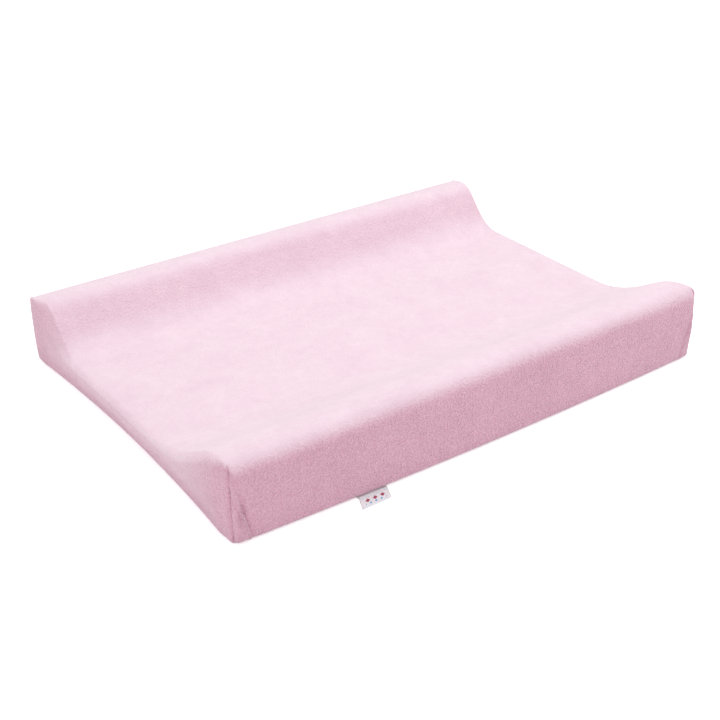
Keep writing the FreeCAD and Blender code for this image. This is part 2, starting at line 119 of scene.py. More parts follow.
def add_uv(piece, coordinates):
    """A UV layer from one (u, v) pair for each point, in metres of cloth."""
    layer = piece.data.uv_layers.new(name="cloth")
    loops = np.zeros(len(piece.data.loops), int)
    piece.data.loops.foreach_get("vertex_index", loops)
    layer.data.foreach_set("uv", np.asarray(coordinates, float)[loops].ravel())


def stitch_row(name, points, along, up, length, width, material):
    """A row of thread stitches: one short rounded bar at each point, lying along the seam."""
    sides = 6
    stations = np.array([-0.5, -0.42, 0, 0.42, 0.5])[:, None]
    girth = np.array([0.15, 0.7, 1.0, 0.7, 0.15])[:, None, None]
    sink = np.array([-0.5, -0.1, 0.35, -0.1, -0.5])[:, None]
    along = np.broadcast_to(along, points.shape)
    along = along / np.linalg.norm(along, axis=1)[:, None]
    turns = 2 * math.pi * np.arange(sides)[:, None] / sides
    round_it = np.cross(along, up)[:, None] * np.cos(turns) + np.multiply(up, np.sin(turns))
    centres = points[:, None] + along[:, None] * stations * length + up * sink * width
    corners = centres[:, :, None] + round_it[:, None] * girth * width / 2
    faces = []
    for start in range(0, corners.size // 3, len(stations) * sides):
        last = start + (len(stations) - 1) * sides
        faces += grid_faces(len(stations), sides, True, start)
        faces.append(tuple(range(start, start + sides)))
        faces.append(tuple(reversed(range(last, last + sides))))
    return make_piece(name, corners.reshape(-1, 3), faces, material)


# ---------------------------------------------------------------- node helpers

class Signal:
    """A node's output; sums, products and comparisons with it make further nodes."""

    def __init__(self, tree, socket):
        self.tree = tree
        self.socket = socket

    def maths(self, operation, *others):
        return node(self.tree, "ShaderNodeMath", 0, enumerate((self, *others)),
                    operation=operation)

    def __add__(self, other):
        return self.maths("ADD", other)

    def __sub__(self, other):
        return self.maths("SUBTRACT", other)

    def __rsub__(self, other):
        return node(self.tree, "ShaderNodeMath", 0, enumerate((other, self)),
                    operation="SUBTRACT")

    def __mul__(self, other):
        return self.maths("MULTIPLY", other)

    def __truediv__(self, other):
        return self.maths("DIVIDE", other)

    def __lt__(self, other):
        return self.maths("LESS_THAN", other)

    def __abs__(self):
        return self.maths("ABSOLUTE")

    def ranged(self, low, high, to_low=0.0, to_high=1.0):
        return node(self.tree, "ShaderNodeMapRange", 0, {
            "Value": self, "From Min": low, "From Max": high, "To Min": to_low,
            "To Max": to_high})

    def noise(self, scale, detail, **inputs):
        """Noise with this signal as its place."""
        return node(self.tree, "ShaderNodeTexNoise", "Fac", {
            "Vector": self, "Scale": scale, "Detail": detail, **inputs})

    def mixed(self, first, second, blend="MIX"):
        """From the first colour to the second as this signal rises."""
        return node(self.tree, "ShaderNodeMix", 2, {0: self, 6: first, 7: second},
                    data_type="RGBA", blend_type=blend)


def feed(tree, socket, value):
    """Links a signal to an input, or sets it to a value; colours need no alpha."""
    if isinstance(value, Signal):
        tree.links.new(value.socket, socket)
    elif socket.type == "RGBA":
        socket.default_value = (*value, 1.0)
    else:
        socket.default_value = value


def node(tree, kind, output, inputs=(), **settings):
    """Makes a node with its inputs by name or number, and gives one of its outputs."""
    made = tree.nodes.new(kind)
    for key, value in settings.items():
        setattr(made, key, value)
    for key, value in dict(inputs).items():
        feed(tree, made.inputs[key], value)
    return Signal(tree, made.outputs[output])


def node_group(name, inputs, build):
    """A group made once; build gets the tree and its inputs, and gives the outputs by name."""
    if name in bpy.data.node_groups:
        return bpy.data.node_groups[name]
    group = bpy.data.node_groups.new(name, "ShaderNodeTree")

    def add_socket(key, direction, kind):
        return group.interface.new_socket(name=key, in_out=direction,
                                          socket_type=f"NodeSocket{kind}")

    for key, default in inputs.items():
        if default is None:
            add_socket(key, "INPUT", "Vector")
        else:
            kind = "Color" if isinstance(default, tuple) else "Float"
            add_socket(key, "INPUT", kind).default_value = default
    given = group.nodes.new("NodeGroupInput").outputs
    results = build(group, {key: Signal(group, given[key]) for key in inputs})
    for key in results:
        add_socket(key, "OUTPUT", "Color" if key == "Color" else "Float")
    out = group.nodes.new("NodeGroupOutput")
    for key, value in results.items():
        feed(group, out.inputs[key], value)
    return group


def pile_nodes(tree, given):
    """Towelling pile: loops with pits between them, and soft patches of random tone; where the
    painted highlight lies, on the top and the ends' upper parts, the colour goes to a paler, whiter
    copy and the pits fade.
    """
    place = node(tree, "ShaderNodeTexCoord", "Object")
    patches = place.noise(given["Patch Scale"], 3.0, Roughness=0.55, Distortion=0.6)
    streaks = place.noise(given["Patch Scale"] * 4.2, 2.0)
    loops = node(tree, "ShaderNodeTexVoronoi", "Distance", {
        "Vector": place, "Scale": given["Loop Scale"], "Smoothness": 0.6, "Randomness": 1.0},
        feature="SMOOTH_F1")
    fuzz = place.noise(given["Loop Scale"] * 0.55, 3.0, Roughness=0.7)
    pits = loops.ranged(0.25, 0.75)
    soft = patches.ranged(0.3, 0.7) * 0.6 + streaks.ranged(0.3, 0.7) * 0.4
    # Where the painted highlight lies, the pits' painted shade and the loops' bump fade.
    loop_share = 1.0 - given["Mask"] * 0.75
    # The pits are darkened toward the pit colour as painted shade between the loops; the patches
    # darken it as random tone.
    shade = soft * 0.42 + pits * loop_share * 0.58
    # The pile goes to its paler, whiter copy as painted highlight on the top and upper ends.
    base = given["Mask"].mixed(given["Pile"], given["Brushed"])
    return {"Color": shade.mixed(base, given["Pit"], "MULTIPLY"),
            "Height": (fuzz * 0.6 + (1.0 - pits) * 0.7) * loop_share}


def weave_nodes(tree, given):
    """A plain weave from two crossing sets of threads, for tapes, labels and backing cloth."""
    waves = []
    for axis in (0, 1):
        place = node(tree, "ShaderNodeSeparateXYZ", axis, {0: given["Vector"]})
        waves.append((place / given["Thread"] * math.pi).maths("SINE"))
    ridges = abs(waves[0]) * abs(waves[1])
    # Gap is high in the hollows between the threads; the materials darken it there as painted shade.
    return {"Height": waves[0] * waves[1] * 0.35 + ridges, "Gap": ridges.ranged(0.25, 0.0)}


WHITE = (1, 1, 1, 1)
GROUPS = {
    "Towelling Pile": ({"Pile": WHITE, "Brushed": WHITE, "Pit": WHITE, "Mask": 0.0,
                        "Patch Scale": 26.0, "Loop Scale": 420.0}, pile_nodes),
    "Plain Weave": ({"Vector": None, "Thread": 0.0005}, weave_nodes),
}


class Finish:
    """A material and its Principled shader, with textures in the object's own space."""

    def __init__(self, name, roughness, sheen=0.0):
        self.material = bpy.data.materials.new(name)
        self.material.use_nodes = True
        self.tree = self.material.node_tree
        self.shader = self.tree.nodes["Principled BSDF"]
        self.give(Roughness=roughness, Sheen_Weight=sheen)

    def give(self, **values):
        for key, value in values.items():
            feed(self.tree, self.shader.inputs[key.replace("_", " ")], value)

    def place(self):
        return node(self.tree, "ShaderNodeTexCoord", "Object")

    def use(self, name, **inputs):
        """The outputs of a node group, by name."""
        made = self.tree.nodes.new("ShaderNodeGroup")
        made.node_tree = node_group(name, *GROUPS[name])
        for key, value in inputs.items():
            feed(self.tree, made.inputs[key.replace("_", " ")], value)
        return {output.name: Signal(self.tree, output) for output in made.outputs}

    def weave(self, thread, place=None):
        return self.use("Plain Weave", Vector=place or self.place(), Thread=thread)

    def shade(self, colour, share, factor):
        """The base colour, going to a share of itself as the factor rises."""
        self.give(Base_Color=factor.mixed(colour, np.minimum(np.multiply(colour, share), 1)))

    def bump(self, height, distance, strength=1.0):
        self.give(Normal=node(self.tree, "ShaderNodeBump", "Normal", {
            "Height": height, "Distance": distance, "Strength": strength}))


# ------------------------------------------------------------------- materials

def towelling_material(name, cloth):
    finish = Finish(name, 0.95, cloth.sheen)
    finish.give(Sheen_Roughness=0.55, Sheen_Tint=cloth.fuzz_colour, Specular_IOR_Level=0.15)
    # The painted highlight share of each point mixes the pile to its paler highlighted colour on the
    # top and upper ends.
    pile = finish.use("Towelling Pile", Pile=cloth.pile_colour, Brushed=cloth.highlight_colour,
                      Pit=cloth.pit_shade, Patch_Scale=1 / cloth.patch_size,
                      Loop_Scale=1 / (cloth.loop_size * MM),
                      Mask=node(finish.tree, "ShaderNodeAttribute", "Fac",
                                attribute_name="painted_highlight"))
    finish.give(Base_Color=pile["Color"])
    finish.bump(pile["Height"], cloth.pile_depth)
    return finish.material


def woven_material(name, colour, thread, sheen=0.2):
    finish = Finish(name, 0.6, sheen)
    weave = finish.weave(thread * MM)
    # Darker in the gaps between the threads: painted shade.
    finish.shade(colour, 0.7, weave["Gap"] * 0.6)
    finish.bump(weave["Height"], thread * 0.3 * MM, 0.8)
    return finish.material


def elastic_material(name, colour):
    """Woven elastic: ribs across the band."""
    finish = Finish(name, 0.7, 0.15)
    weave = finish.weave(1.2 * MM)
    # Darker in the gaps between the threads: painted shade.
    finish.shade(colour, 0.72, weave["Gap"])
    finish.bump(weave["Height"], 0.5 * MM)
    return finish.material


def coated_material(name, colour):
    """Wipe-clean coated cloth: satin film over a fine weave, with faint handling marks."""
    finish = Finish(name, 0.42)
    clouds = finish.place().noise(22.0, 4.0)
    finish.shade(colour, 0.9, clouds.ranged(0.35, 0.7))
    finish.give(Roughness=clouds.ranged(0.3, 0.7, 0.36, 0.5))
    finish.bump(finish.weave(0.9 * MM)["Height"] * 0.12 + clouds, 0.5 * MM, 0.7)
    return finish.material


def foam_material(name, colour):
    """Open-cell foam: small pores of mixed size in a matt, slightly yellowed body."""
    finish = Finish(name, 0.95)
    pores = node(finish.tree, "ShaderNodeTexVoronoi", "Distance", {
        "Vector": finish.place(), "Scale": 700.0, "Randomness": 1.0})
    age = finish.place().noise(9.0, 3.0)
    # Darker and yellower in the pores, as painted shade, and in random patches of yellowing.
    finish.shade(colour, (0.8, 0.76, 0.66),
                 pores.ranged(0.5, 0.1) * 0.5 + age.ranged(0.4, 0.7) * 0.35)
    finish.bump(pores, 0.8 * MM)
    return finish.material


def hard_material(name, colour, roughness, grain, depth=0.04):
    """Moulded or painted hard trim with a fine texture, lighter at its sharp edges."""
    finish = Finish(name, roughness)
    speck = finish.place().noise(grain, 2.0)
    edge = node(finish.tree, "ShaderNodeNewGeometry", "Pointiness")
    finish.shade(colour, 1.08, edge.ranged(0.5, 0.6))
    finish.give(Roughness=speck.ranged(0.3, 0.7, roughness * 0.85, roughness * 1.15))
    finish.bump(speck, depth * MM, 0.5)
    return finish.material


def thread_material(name, colour):
    """Twisted sewing thread."""
    finish = Finish(name, 0.55, 0.3)
    twist = node(finish.tree, "ShaderNodeTexWave", "Fac", {
        "Vector": finish.place(), "Scale": 900.0, "Distortion": 1.0},
        wave_type="BANDS", bands_direction="DIAGONAL")
    # Darker in bands along the twist: painted shade in its grooves.
    finish.shade(colour, 0.8, twist)
    finish.bump(twist, 0.1 * MM)
    return finish.material


def row_of_spots(across, along, row, pitch, half_width, half_height, reach, pointed):
    """1 inside a row of diamonds or dots spaced by pitch across the tape, within reach of it."""
    cell = (across / pitch + 0.5).maths("FRACT") - 0.5
    u = abs(cell * (pitch / half_width))
    v = abs((along - row) / half_height)
    far = u + v if pointed else (u * u + v * v).maths("SQRT")
    return (far < 1.0) * (abs(across) < reach)


def satin_base(finish, colour):
    """Woven satin on a piece with cloth coordinates: its colour, and u and v in metres."""
    thread = 0.3 * MM
    cloth = node(finish.tree, "ShaderNodeUVMap", 0, uv_map="cloth")
    weave = finish.weave(thread, cloth)
    finish.bump(weave["Height"], thread * 0.3, 0.8)
    u, v = (node(finish.tree, "ShaderNodeSeparateXYZ", axis, {0: cloth}) for axis in (0, 1))
    # Darker in the gaps between the threads: painted shade.
    return weave["Gap"].mixed(colour, np.multiply(colour, 0.9)), u, v


def tag_material(name, labels):
    """White satin tape with a woven motif: rose diamonds, blue dots and pale borders."""
    finish = Finish(name, 0.42, 0.2)
    ground, across, along = satin_base(finish, labels.tape_colour)
    border = (0.0036, 0.0012, 0.0006, 0.0175, False)
    rows = (  # colour, row, then pitch, half width, half height, reach, pointed
        (labels.mist_colour, 0.0022, *border),
        (labels.rose_colour, 0.0078, 0.0100, 0.0032, 0.0034, 0.0145, True),
        (labels.sky_colour, 0.0138, 0.0072, 0.0016, 0.0016, 0.0140, False),
        (labels.mist_colour, 0.0172, *border),
    )
    for colour, *spots in rows:
        ground = row_of_spots(across, along, *spots).mixed(ground, colour)
    finish.give(Base_Color=ground)
    return finish.material


def label_material(name, labels):
    """A blank satin label with a fine woven border line."""
    finish = Finish(name, 0.5, 0.2)
    ground, _, across = satin_base(finish, labels.label_colour)
    line_place, half_line = 0.0128, 0.0004
    line = abs(abs(across) - line_place) < half_line
    finish.give(Base_Color=line.mixed(ground, labels.mist_colour))
    return finish.material


# ------------------------------------------------------------ the padded forms

SIDES = (  # along, outward; walked round from the front left corner
    ((1, 0), (0, -1)), ((0, 1), (1, 0)), ((-1, 0), (0, 1)), ((0, -1), (-1, 0)))


def side_of_rounded_rectangle(fraction, half_along, half_across, radius):
    """Places on one side, from the middle of one corner's arc to the middle of the next.

    Gives the distance along, the distance outward, and how far the outward normal has turned.
    """
    arc = radius * math.pi / 4
    straight = 2 * (half_along - radius)
    s = fraction * (2 * arc + straight)
    turn = np.where(s < arc, (s - arc) / radius, np.maximum(s - arc - straight, 0) / radius)
    along = np.clip(s - arc, 0, straight) - (half_along - radius) + radius * np.sin(turn)
    across = half_across - radius + radius * np.cos(turn)
    return along, across, turn


def spaced(count, crowd):
    """count + 1 fractions from 0 to 1, closer together near both ends as crowd goes to 1."""
    middle = (np.arange(count) + 0.5) / count
    near_ends = np.exp(-(middle / 0.1) ** 2) + np.exp(-((1 - middle) / 0.1) ** 2)
    steps = 1 - crowd * near_ends
    return np.concatenate([[0], np.cumsum(steps)]) / steps.sum()


def plan_ring(half_x, half_y, radius, counts, crowd=0.0):
    """A whole rounded rectangle as (x, y, normal x, normal y), one row for each ring point."""
    rows = []
    for side, ((ax, ay), (ox, oy)) in enumerate(SIDES):
        half_along, half_across = (half_x, half_y) if side % 2 == 0 else (half_y, half_x)
        fraction = spaced(counts[side % 2], crowd)[:-1]
        along, across, turn = side_of_rounded_rectangle(fraction, half_along, half_across, radius)
        rows.append(np.stack([
            along * ax + across * ox, along * ay + across * oy,
            np.sin(turn) * ax + np.cos(turn) * ox, np.sin(turn) * ay + np.cos(turn) * oy], 1))
    return np.concatenate(rows)


def patch_inside(ring, counts, crowd=0.0):
    """Fills a ring with a regular grid of points, by blending between its four sides."""
    nx, ny = counts
    front, right = ring[:nx + 1], ring[nx:nx + ny + 1]
    back = ring[nx + ny:2 * nx + ny + 1][::-1]
    left = np.concatenate([ring[2 * nx + ny:], ring[:1]])[::-1]
    u = spaced(nx, crowd)[:, None, None]
    v = spaced(ny, crowd)[None, :, None]
    sides = (1 - v) * front[:, None] + v * back[:, None] + (1 - u) * left[None] + u * right[None]
    corners = ((1 - u) * (1 - v) * front[0] + u * (1 - v) * front[-1]
               + (1 - u) * v * back[0] + u * v * back[-1])
    return (sides - corners).reshape(-1, 2)


def patch_faces(counts, start=0):
    nx, ny = counts
    return flipped(grid_faces(nx + 1, ny + 1, start=start))


def patch_rim(counts, start=0):
    """The patch's boundary points, in the ring's own order."""
    nx, ny = counts
    rim = [i * (ny + 1) for i in range(nx)]
    rim += [nx * (ny + 1) + j for j in range(ny)]
    rim += [(nx - i) * (ny + 1) + ny for i in range(nx)]
    rim += [ny - j for j in range(ny)]
    return [start + k for k in rim]


def bridge_faces(rim, first):
    """Quads that join a patch's boundary to the ring whose points start at first."""
    columns = len(rim)
    return [(rim[k], first + k, first + (k + 1) % columns, rim[(k + 1) % columns])
            for k in range(columns)]


def bank_section(y, cover):
    """Height of the cover's top at y: lying surface, the two banks and their crests."""
    trough = np.full_like(y, cover.trough_height)
    front = cover.trough_height + (-y - cover.toe_front) * math.tan(cover.slope_front)
    back = cover.trough_height + (y - cover.toe_back) * math.tan(cover.slope_back)
    height = soft_max(trough, front, cover.bridge_front)
    height = soft_max(height, back, cover.bridge_back)
    peak = cover.peak_height - cover.crest_fall * np.maximum(y - 0.215, 0)
    return soft_min(height, peak, np.where(y < 0, cover.crest_front, cover.crest_back))


def bend(points, cover):
    """Draws the ends in and lets the long sides swell, most at their feet and their middles."""
    foot_height, bow_from, swell_from, back_share = 0.05, 0.77, 0.6, 0.5
    bent = points.copy()
    x, y, z = points.T
    low = 1 - smooth_step(z / foot_height)
    share_x, share_y = x / cover.half_length, y / cover.half_width
    near_end = smooth_step((np.abs(share_x) - bow_from) / (1 - bow_from))
    near_side = smooth_step((np.abs(share_y) - swell_from) / (1 - swell_from))
    bow = cover.end_bow_top + (cover.end_bow - cover.end_bow_top) * low
    swell = cover.side_swell_top + (cover.side_swell - cover.side_swell_top) * low
    swell = np.where(y < 0, swell, swell * back_share)
    section = bank_section(y, cover)
    drop = cover.peak_height - section
    low_part = np.clip(drop / (cover.peak_height - cover.trough_height), 0, 1)
    along = np.maximum(1 - (cover.half_length - np.abs(x)) / cover.end_roll_width, 0)
    bent[:, 2] *= 1 - cover.end_roll * low_part ** 2 * along ** 2 / section
    bent[:, 0] -= np.sign(x) * near_end * bow * np.maximum(1 - share_y ** 2, 0)
    bent[:, 1] += np.sign(y) * near_side * swell * np.maximum(1 - share_x ** 2, 0)
    return bent


class PaddedForm:
    """A form that follows the covered pad's shape at an inset, as rings of points.

    Its plan is a rounded rectangle whose corners open out from the top to the base.
    """

    def __init__(self, cover, inset, floor, cells, corners, rims=None, base=None, section=None,
                 crowd=0.0):
        self.cover = cover
        self.floor = floor
        self.counts = cells
        self.crowd = crowd
        self.corner_top, self.corner_base = corners
        self.rim_x, self.rim_y = rims or (cover.rim_end - inset, cover.rim_side - inset)
        self.base = cover.base_radius - inset if base is None else base
        self.section = section or (lambda y: bank_section(y, cover) - inset)
        self.half_x = cover.half_length - inset
        self.half_y = cover.half_width - inset

    def ring(self, offset_x, offset_y, radius):
        """A ring at offsets in from the form's sides: its points in plan, and its normals."""
        ring = plan_ring(self.half_x - offset_x, self.half_y - offset_y, max(radius, 0.0015),
                         self.counts, self.crowd)
        return ring[:, :2], ring[:, 2:]

    def inner(self):
        """The ring inside the rim, with its height and the rim's radius at each point."""
        plan, normal = self.ring(self.rim_x, self.rim_y, self.corner_top - self.rim_x)
        rim = self.rim_x * normal[:, 0] ** 2 + self.rim_y * normal[:, 1] ** 2
        return plan, self.section(plan[:, 1]), rim

    def top(self):
        """The top's grid of points, inside the rim."""
        plan = patch_inside(self.inner()[0], self.counts, self.crowd)
        return np.column_stack([plan, self.section(plan[:, 1])])

    def rings(self, rows, stand_out):
        """Rings over the rim, down the wall and under the edge, with so many rows of each.

        stand_out gives how far the wall bulges at a level from 1 at its top to 0.
        """
        turns, levels, tucks = (np.linspace(0, 1, count + 1)[1:] for count in rows)
        return [*self.rim_rows(turns * math.pi / 2, stand_out),
                *self.wall_rows(1 - levels, stand_out),
                *self.base_rows(tucks * math.pi / 2, stand_out)]

    def rim_rows(self, turns, stand_out):
        _, height, rim = self.inner()
        for turn in turns:
            tuck = 1 - math.sin(turn)
            plan, normal = self.ring(self.rim_x * tuck, self.rim_y * tuck,
                                     self.corner_top - self.rim_x * tuck)
            out = stand_out(1.0) * math.sin(turn) ** 2
            yield np.column_stack([plan + out[:, None] * normal,
                                   height - rim * (1 - math.cos(turn))])

    def wall_rows(self, levels, stand_out):
        _, height, rim = self.inner()
        top = height - rim
        foot = self.floor + self.base
        for level in levels:
            radius = self.corner_base + (self.corner_top - self.corner_base) * level ** 0.8
            plan, normal = self.ring(0, 0, radius)
            yield np.column_stack([plan + stand_out(level)[:, None] * normal,
                                   foot + (top - foot) * level])

    def base_rows(self, turns, stand_out):
        for turn in turns:
            offset = self.base * (1 - math.cos(turn))
            plan, normal = self.ring(offset, offset, self.corner_base - offset)
            out = stand_out(0.0) * math.cos(turn)
            height = np.full(len(plan), self.floor + self.base * (1 - math.sin(turn)))
            yield np.column_stack([plan + out[:, None] * normal, height])

    def columns(self):
        return 2 * sum(self.counts)

    def travelled(self):
        """Distance round the form's side at each ring point, and the whole way round."""
        plan, _ = self.ring(0, 0, self.corner_base)
        steps = np.linalg.norm(np.roll(plan, -1, 0) - plan, axis=1)
        return np.concatenate([[0], np.cumsum(steps)[:-1]]), steps.sum()


def closed_form(form, rows):
    """Points and faces of a whole closed form, and where its rings and its underside start."""
    top = form.top()
    rings = form.rings(rows, lambda level: np.zeros(form.columns()))
    under = patch_inside(rings[-1][:, :2], form.counts)
    under = np.column_stack([under, np.full(len(under), form.floor)])
    points = bend(np.concatenate([top, *rings, under]), form.cover)
    first = len(top)
    below = first + len(rings) * form.columns()
    last = below - form.columns()
    faces = patch_faces(form.counts)
    faces += bridge_faces(patch_rim(form.counts), first)
    faces += flipped(grid_faces(len(rings), form.columns(), True, first))
    faces += flipped(bridge_faces(patch_rim(form.counts, below), last))
    faces += flipped(patch_faces(form.counts, below))
    return points, faces, first, below


# ------------------------------------------------------------ the fitted cover

PLEATS = (  # top and bottom level, distance from the seam at the top, lean, height
    (0.88, 0.30, 0.0042, 0.0150, 0.0017),
    (0.68, -0.10, 0.0068, 0.0180, 0.0022),
    (0.62, 0.15, 0.0034, 0.0110, 0.0012),
    (0.40, -0.10, 0.0125, 0.0200, 0.0010),
)
CORNER_SHARES = (1.0, 0.45, 0.6, 0.5)  # how deep each corner's folds are, from the front left


def corner_distance(form):
    """Signed distance of each ring point from the nearest corner's middle, and its corner."""
    nx, ny = form.counts
    s, total = form.travelled()
    corners = s[[0, nx, nx + ny, 2 * nx + ny]]
    gap = (s[:, None] - corners[None] + total / 2) % total - total / 2
    nearest = np.abs(gap).argmin(1)
    return gap[np.arange(len(s)), nearest], nearest


def ridge(s, centre, width):
    return np.exp(-((s - centre) / width) ** 2)


def corner_folds(s, corner, level, cover):
    """How far the cloth stands out beside each corner seam.

    A slack facet leads up to the seam from the end, and pleats fan out on its other side.
    s is the distance round from the corner; level runs from 0 at the floor to 1 at the rim.
    """
    rise = np.zeros_like(s)
    seam = cover.seam_offset
    facet_edge, crease = 0.006, 0.0016
    for which, amount in enumerate(CORNER_SHARES):
        u = s * (1 if which % 2 == 0 else -1)
        here = np.where(corner == which, amount, 0)
        facet = 1 + np.where(u < seam, (u - seam) / cover.facet_width, (seam - u) / facet_edge)
        rise -= here * cover.facet_depth * np.maximum(facet, 0)
        fade = smooth_step((0.95 - level) / 0.2)
        rise -= here * fade * cover.seam_groove * ridge(u, seam + 0.0012, 0.0014)
        for top, bottom, start, lean, height in PLEATS:
            run = smooth_step((top - level) / 0.14) * smooth_step((level - bottom) / 0.16)
            place = seam + start + lean * (top - level)
            rise += here * run * height * (ridge(u, place, crease)
                                           - 0.8 * ridge(u, place + 2 * crease, crease))
    return rise


def gathers(s, corner_s, cover):
    """Gathered cloth along the hem: irregular pleats, deeper near the corners."""
    near = np.exp(-(corner_s / 0.07) ** 2)
    fine = np.sin(2 * math.pi * s / cover.gather_pitch + 2.5 * wander(s, 0.09, 7))
    wide = wander(s, 0.045, 8)
    return cover.gather_depth * (0.35 + 0.65 * near) * (0.6 * fine + 0.4 * wide)


def cover_mesh(cover):
    """The cover's outer face: the top, then rings over the rim, down the walls and under."""
    cells = (round(2 * cover.half_length / cover.cell_size),
             round(2 * cover.half_width / cover.cell_size))
    form = PaddedForm(cover, 0.0, cover.lift, cells, (cover.corner_top, cover.corner_base),
                      crowd=0.75)
    corner_s, corner = corner_distance(form)
    s, around = form.travelled()
    ripples = round(around / cover.gather_pitch) // 12
    top = form.top()
    slack = 0.0005 * wander(top[:, 0] + 0.4 * top[:, 1], 0.31, 3)
    slack += 0.0004 * wander(top[:, 1] - 0.3 * top[:, 0], 0.17, 4)
    edge = np.minimum(cover.half_length - np.abs(top[:, 0]), cover.half_width - np.abs(top[:, 1]))
    top[:, 2] += slack * smooth_step(edge / 0.05)

    def stand_out(level):
        crown = cover.wall_crown * math.sin(math.pi * level)
        ripple = 0.0005 * np.sin(2 * math.pi * ripples * s / around + 5 * level)
        return (crown + ripple * math.sin(math.pi * level)
                + corner_folds(corner_s, corner, level, cover))

    rings = form.rings((cover.rim_rows, cover.wall_rows, cover.base_rows), stand_out)
    shaped = bend(np.concatenate([top, *rings]), cover)
    under = shaped[-form.columns():]
    tucked = cover.flange + cover.tuck
    hem = plan_ring(cover_high.x - tucked, cover_high.y - tucked, cover.hem_corner - cover.tuck,
                    cells, 0.45)[:, :2]
    waves = gathers(s, corner_s, cover)
    flange = []
    for part in np.linspace(0, 1, cover.flange_rows + 1)[1:]:
        plan = under[:, :2] * (1 - part) + hem * part
        swell = part * (1 - part ** 7)
        rise = np.maximum((waves + cover.gather_depth * 0.6) * swell, -0.0005)
        flange.append(np.column_stack([plan, cover.lift + rise]))
    first = len(top)
    faces = patch_faces(cells) + bridge_faces(patch_rim(cells), first)
    count = len(rings) + len(flange)
    faces += flipped(grid_faces(count, form.columns(), True, first))
    return np.concatenate([shaped, *flange]), faces


def painted_highlight_share(piece, cover):
    """How much painted highlight each point gets: wholly on top, hardly on the walls, partly on the
    ends above their feet.
    """
    nx, _, nz = np.array([point.normal for point in piece.data.vertices]).T
    _, y, z = np.array([point.co for point in piece.data.vertices]).T
    end_share, foot, foot_fade, side, side_fade = 0.55, 0.012, 0.03, 0.024, 0.08
    # Painted highlight: full where the cloth faces up, part on the ends above their feet and away
    # from the long sides.
    on_top = smooth_step((nz - 0.05) / 0.95)
    on_ends = end_share * smooth_step((nx ** 2 - 0.3) / 0.6) * smooth_step((z - foot) / foot_fade)
    on_ends *= smooth_step((cover.half_width - np.abs(y) - side) / side_fade)
    layer = piece.data.attributes.new("painted_highlight", "FLOAT", "POINT")
    layer.data.foreach_set("value", np.clip(on_top + on_ends, 0, 1).astype(np.float32))


# ------------------------------------------------------- liner, piping and foam

def liner_meshes(cover, liner):
    """The liner's wrap with its zip slot, its two end panels, and the seams between them."""
    cells = (liner.cells_along, liner.cells_across)
    nx, ny = cells
    form = PaddedForm(cover, liner.inset, liner.lift, cells, (0.020, 0.024))
    rows = (6, 14, 4)
    points, faces, first, below = closed_form(form, rows)
    columns = form.columns()
    patch = nx * ny
    wrinkle = liner.wrinkle_depth * (wander(points[:, 0] + 0.5 * points[:, 1], 0.09, 21)
                                     * wander(points[:, 1], 0.13, 22) - 0.4)
    under = np.arange(len(points)) >= below
    calm = smooth_step((np.abs(points[:, 1]) - 0.016) / 0.03)
    points[:, 2] += np.where(under, np.maximum(wrinkle * calm, -0.001), 0)
    slot_x, slot_y = liner.slot_half_length, liner.slot_half_width
    for index in range(below, len(points)):
        if abs(abs(points[index, 1]) - slot_y) < 0.0021 and abs(points[index, 0]) < slot_x + 0.02:
            points[index, 1] = math.copysign(slot_y, points[index, 1])
    row_a, row_b = rows[0] // 2, rows[0] + rows[1] + rows[2] // 2
    ends = {1: [], 3: []}
    wrap = []
    for index, face in enumerate(faces):
        k = index - patch - columns
        if 0 <= k < (sum(rows) - 1) * columns:
            row, column = divmod(k, columns)
            side = 1 if nx <= column < nx + ny else 3 if column >= 2 * nx + ny else 0
            if side and row_a <= row + 1 <= row_b:
                ends[side].append(face)
                continue
        if face[0] >= below and face[1] >= below:
            middle = points[list(face)].mean(0)
            if abs(middle[1]) < slot_y and abs(middle[0]) < slot_x:
                continue
        wrap.append(face)
    seams = {}
    for side, start in ((1, nx), (3, 2 * nx + ny)):
        across = [(start + k) % columns for k in range(ny + 1)]
        down = range(row_a, row_b)
        loop = [first + (row_a - 1) * columns + k for k in across]
        loop += [first + row * columns + across[-1] for row in down]
        loop += [first + (row_b - 1) * columns + k for k in across[::-1]][1:]
        loop += [first + row * columns + across[0] for row in reversed(down)][1:]
        seams[side] = points[loop]
    return points, wrap, ends, seams


def used_only(points, faces):
    """The same faces with only the points that they use."""
    used = sorted({k for face in faces for k in face})
    place = {old: new for new, old in enumerate(used)}
    return points[used], [tuple(place[k] for k in face) for face in faces]


def tube_round(path, radius, sides, middle):
    """A closed tube along a loop; its sections are squared to the loop's direction."""
    path = np.asarray(path)
    keep = np.linalg.norm(path - np.roll(path, 1, 0), axis=1) > 1e-6
    path = path[keep]
    along = np.roll(path, -1, 0) - np.roll(path, 1, 0)
    along /= np.linalg.norm(along, axis=1)[:, None]
    out = path - middle
    out -= (out * along).sum(1)[:, None] * along
    out /= np.linalg.norm(out, axis=1)[:, None]
    side = np.cross(along, out)
    turns = 2 * math.pi * np.arange(sides) / sides
    rings = (path[:, None] + radius * (np.cos(turns)[None, :, None] * out[:, None]
                                       + np.sin(turns)[None, :, None] * side[:, None]))
    return rings.reshape(-1, 3), grid_faces(len(path), sides, True, closed=True)


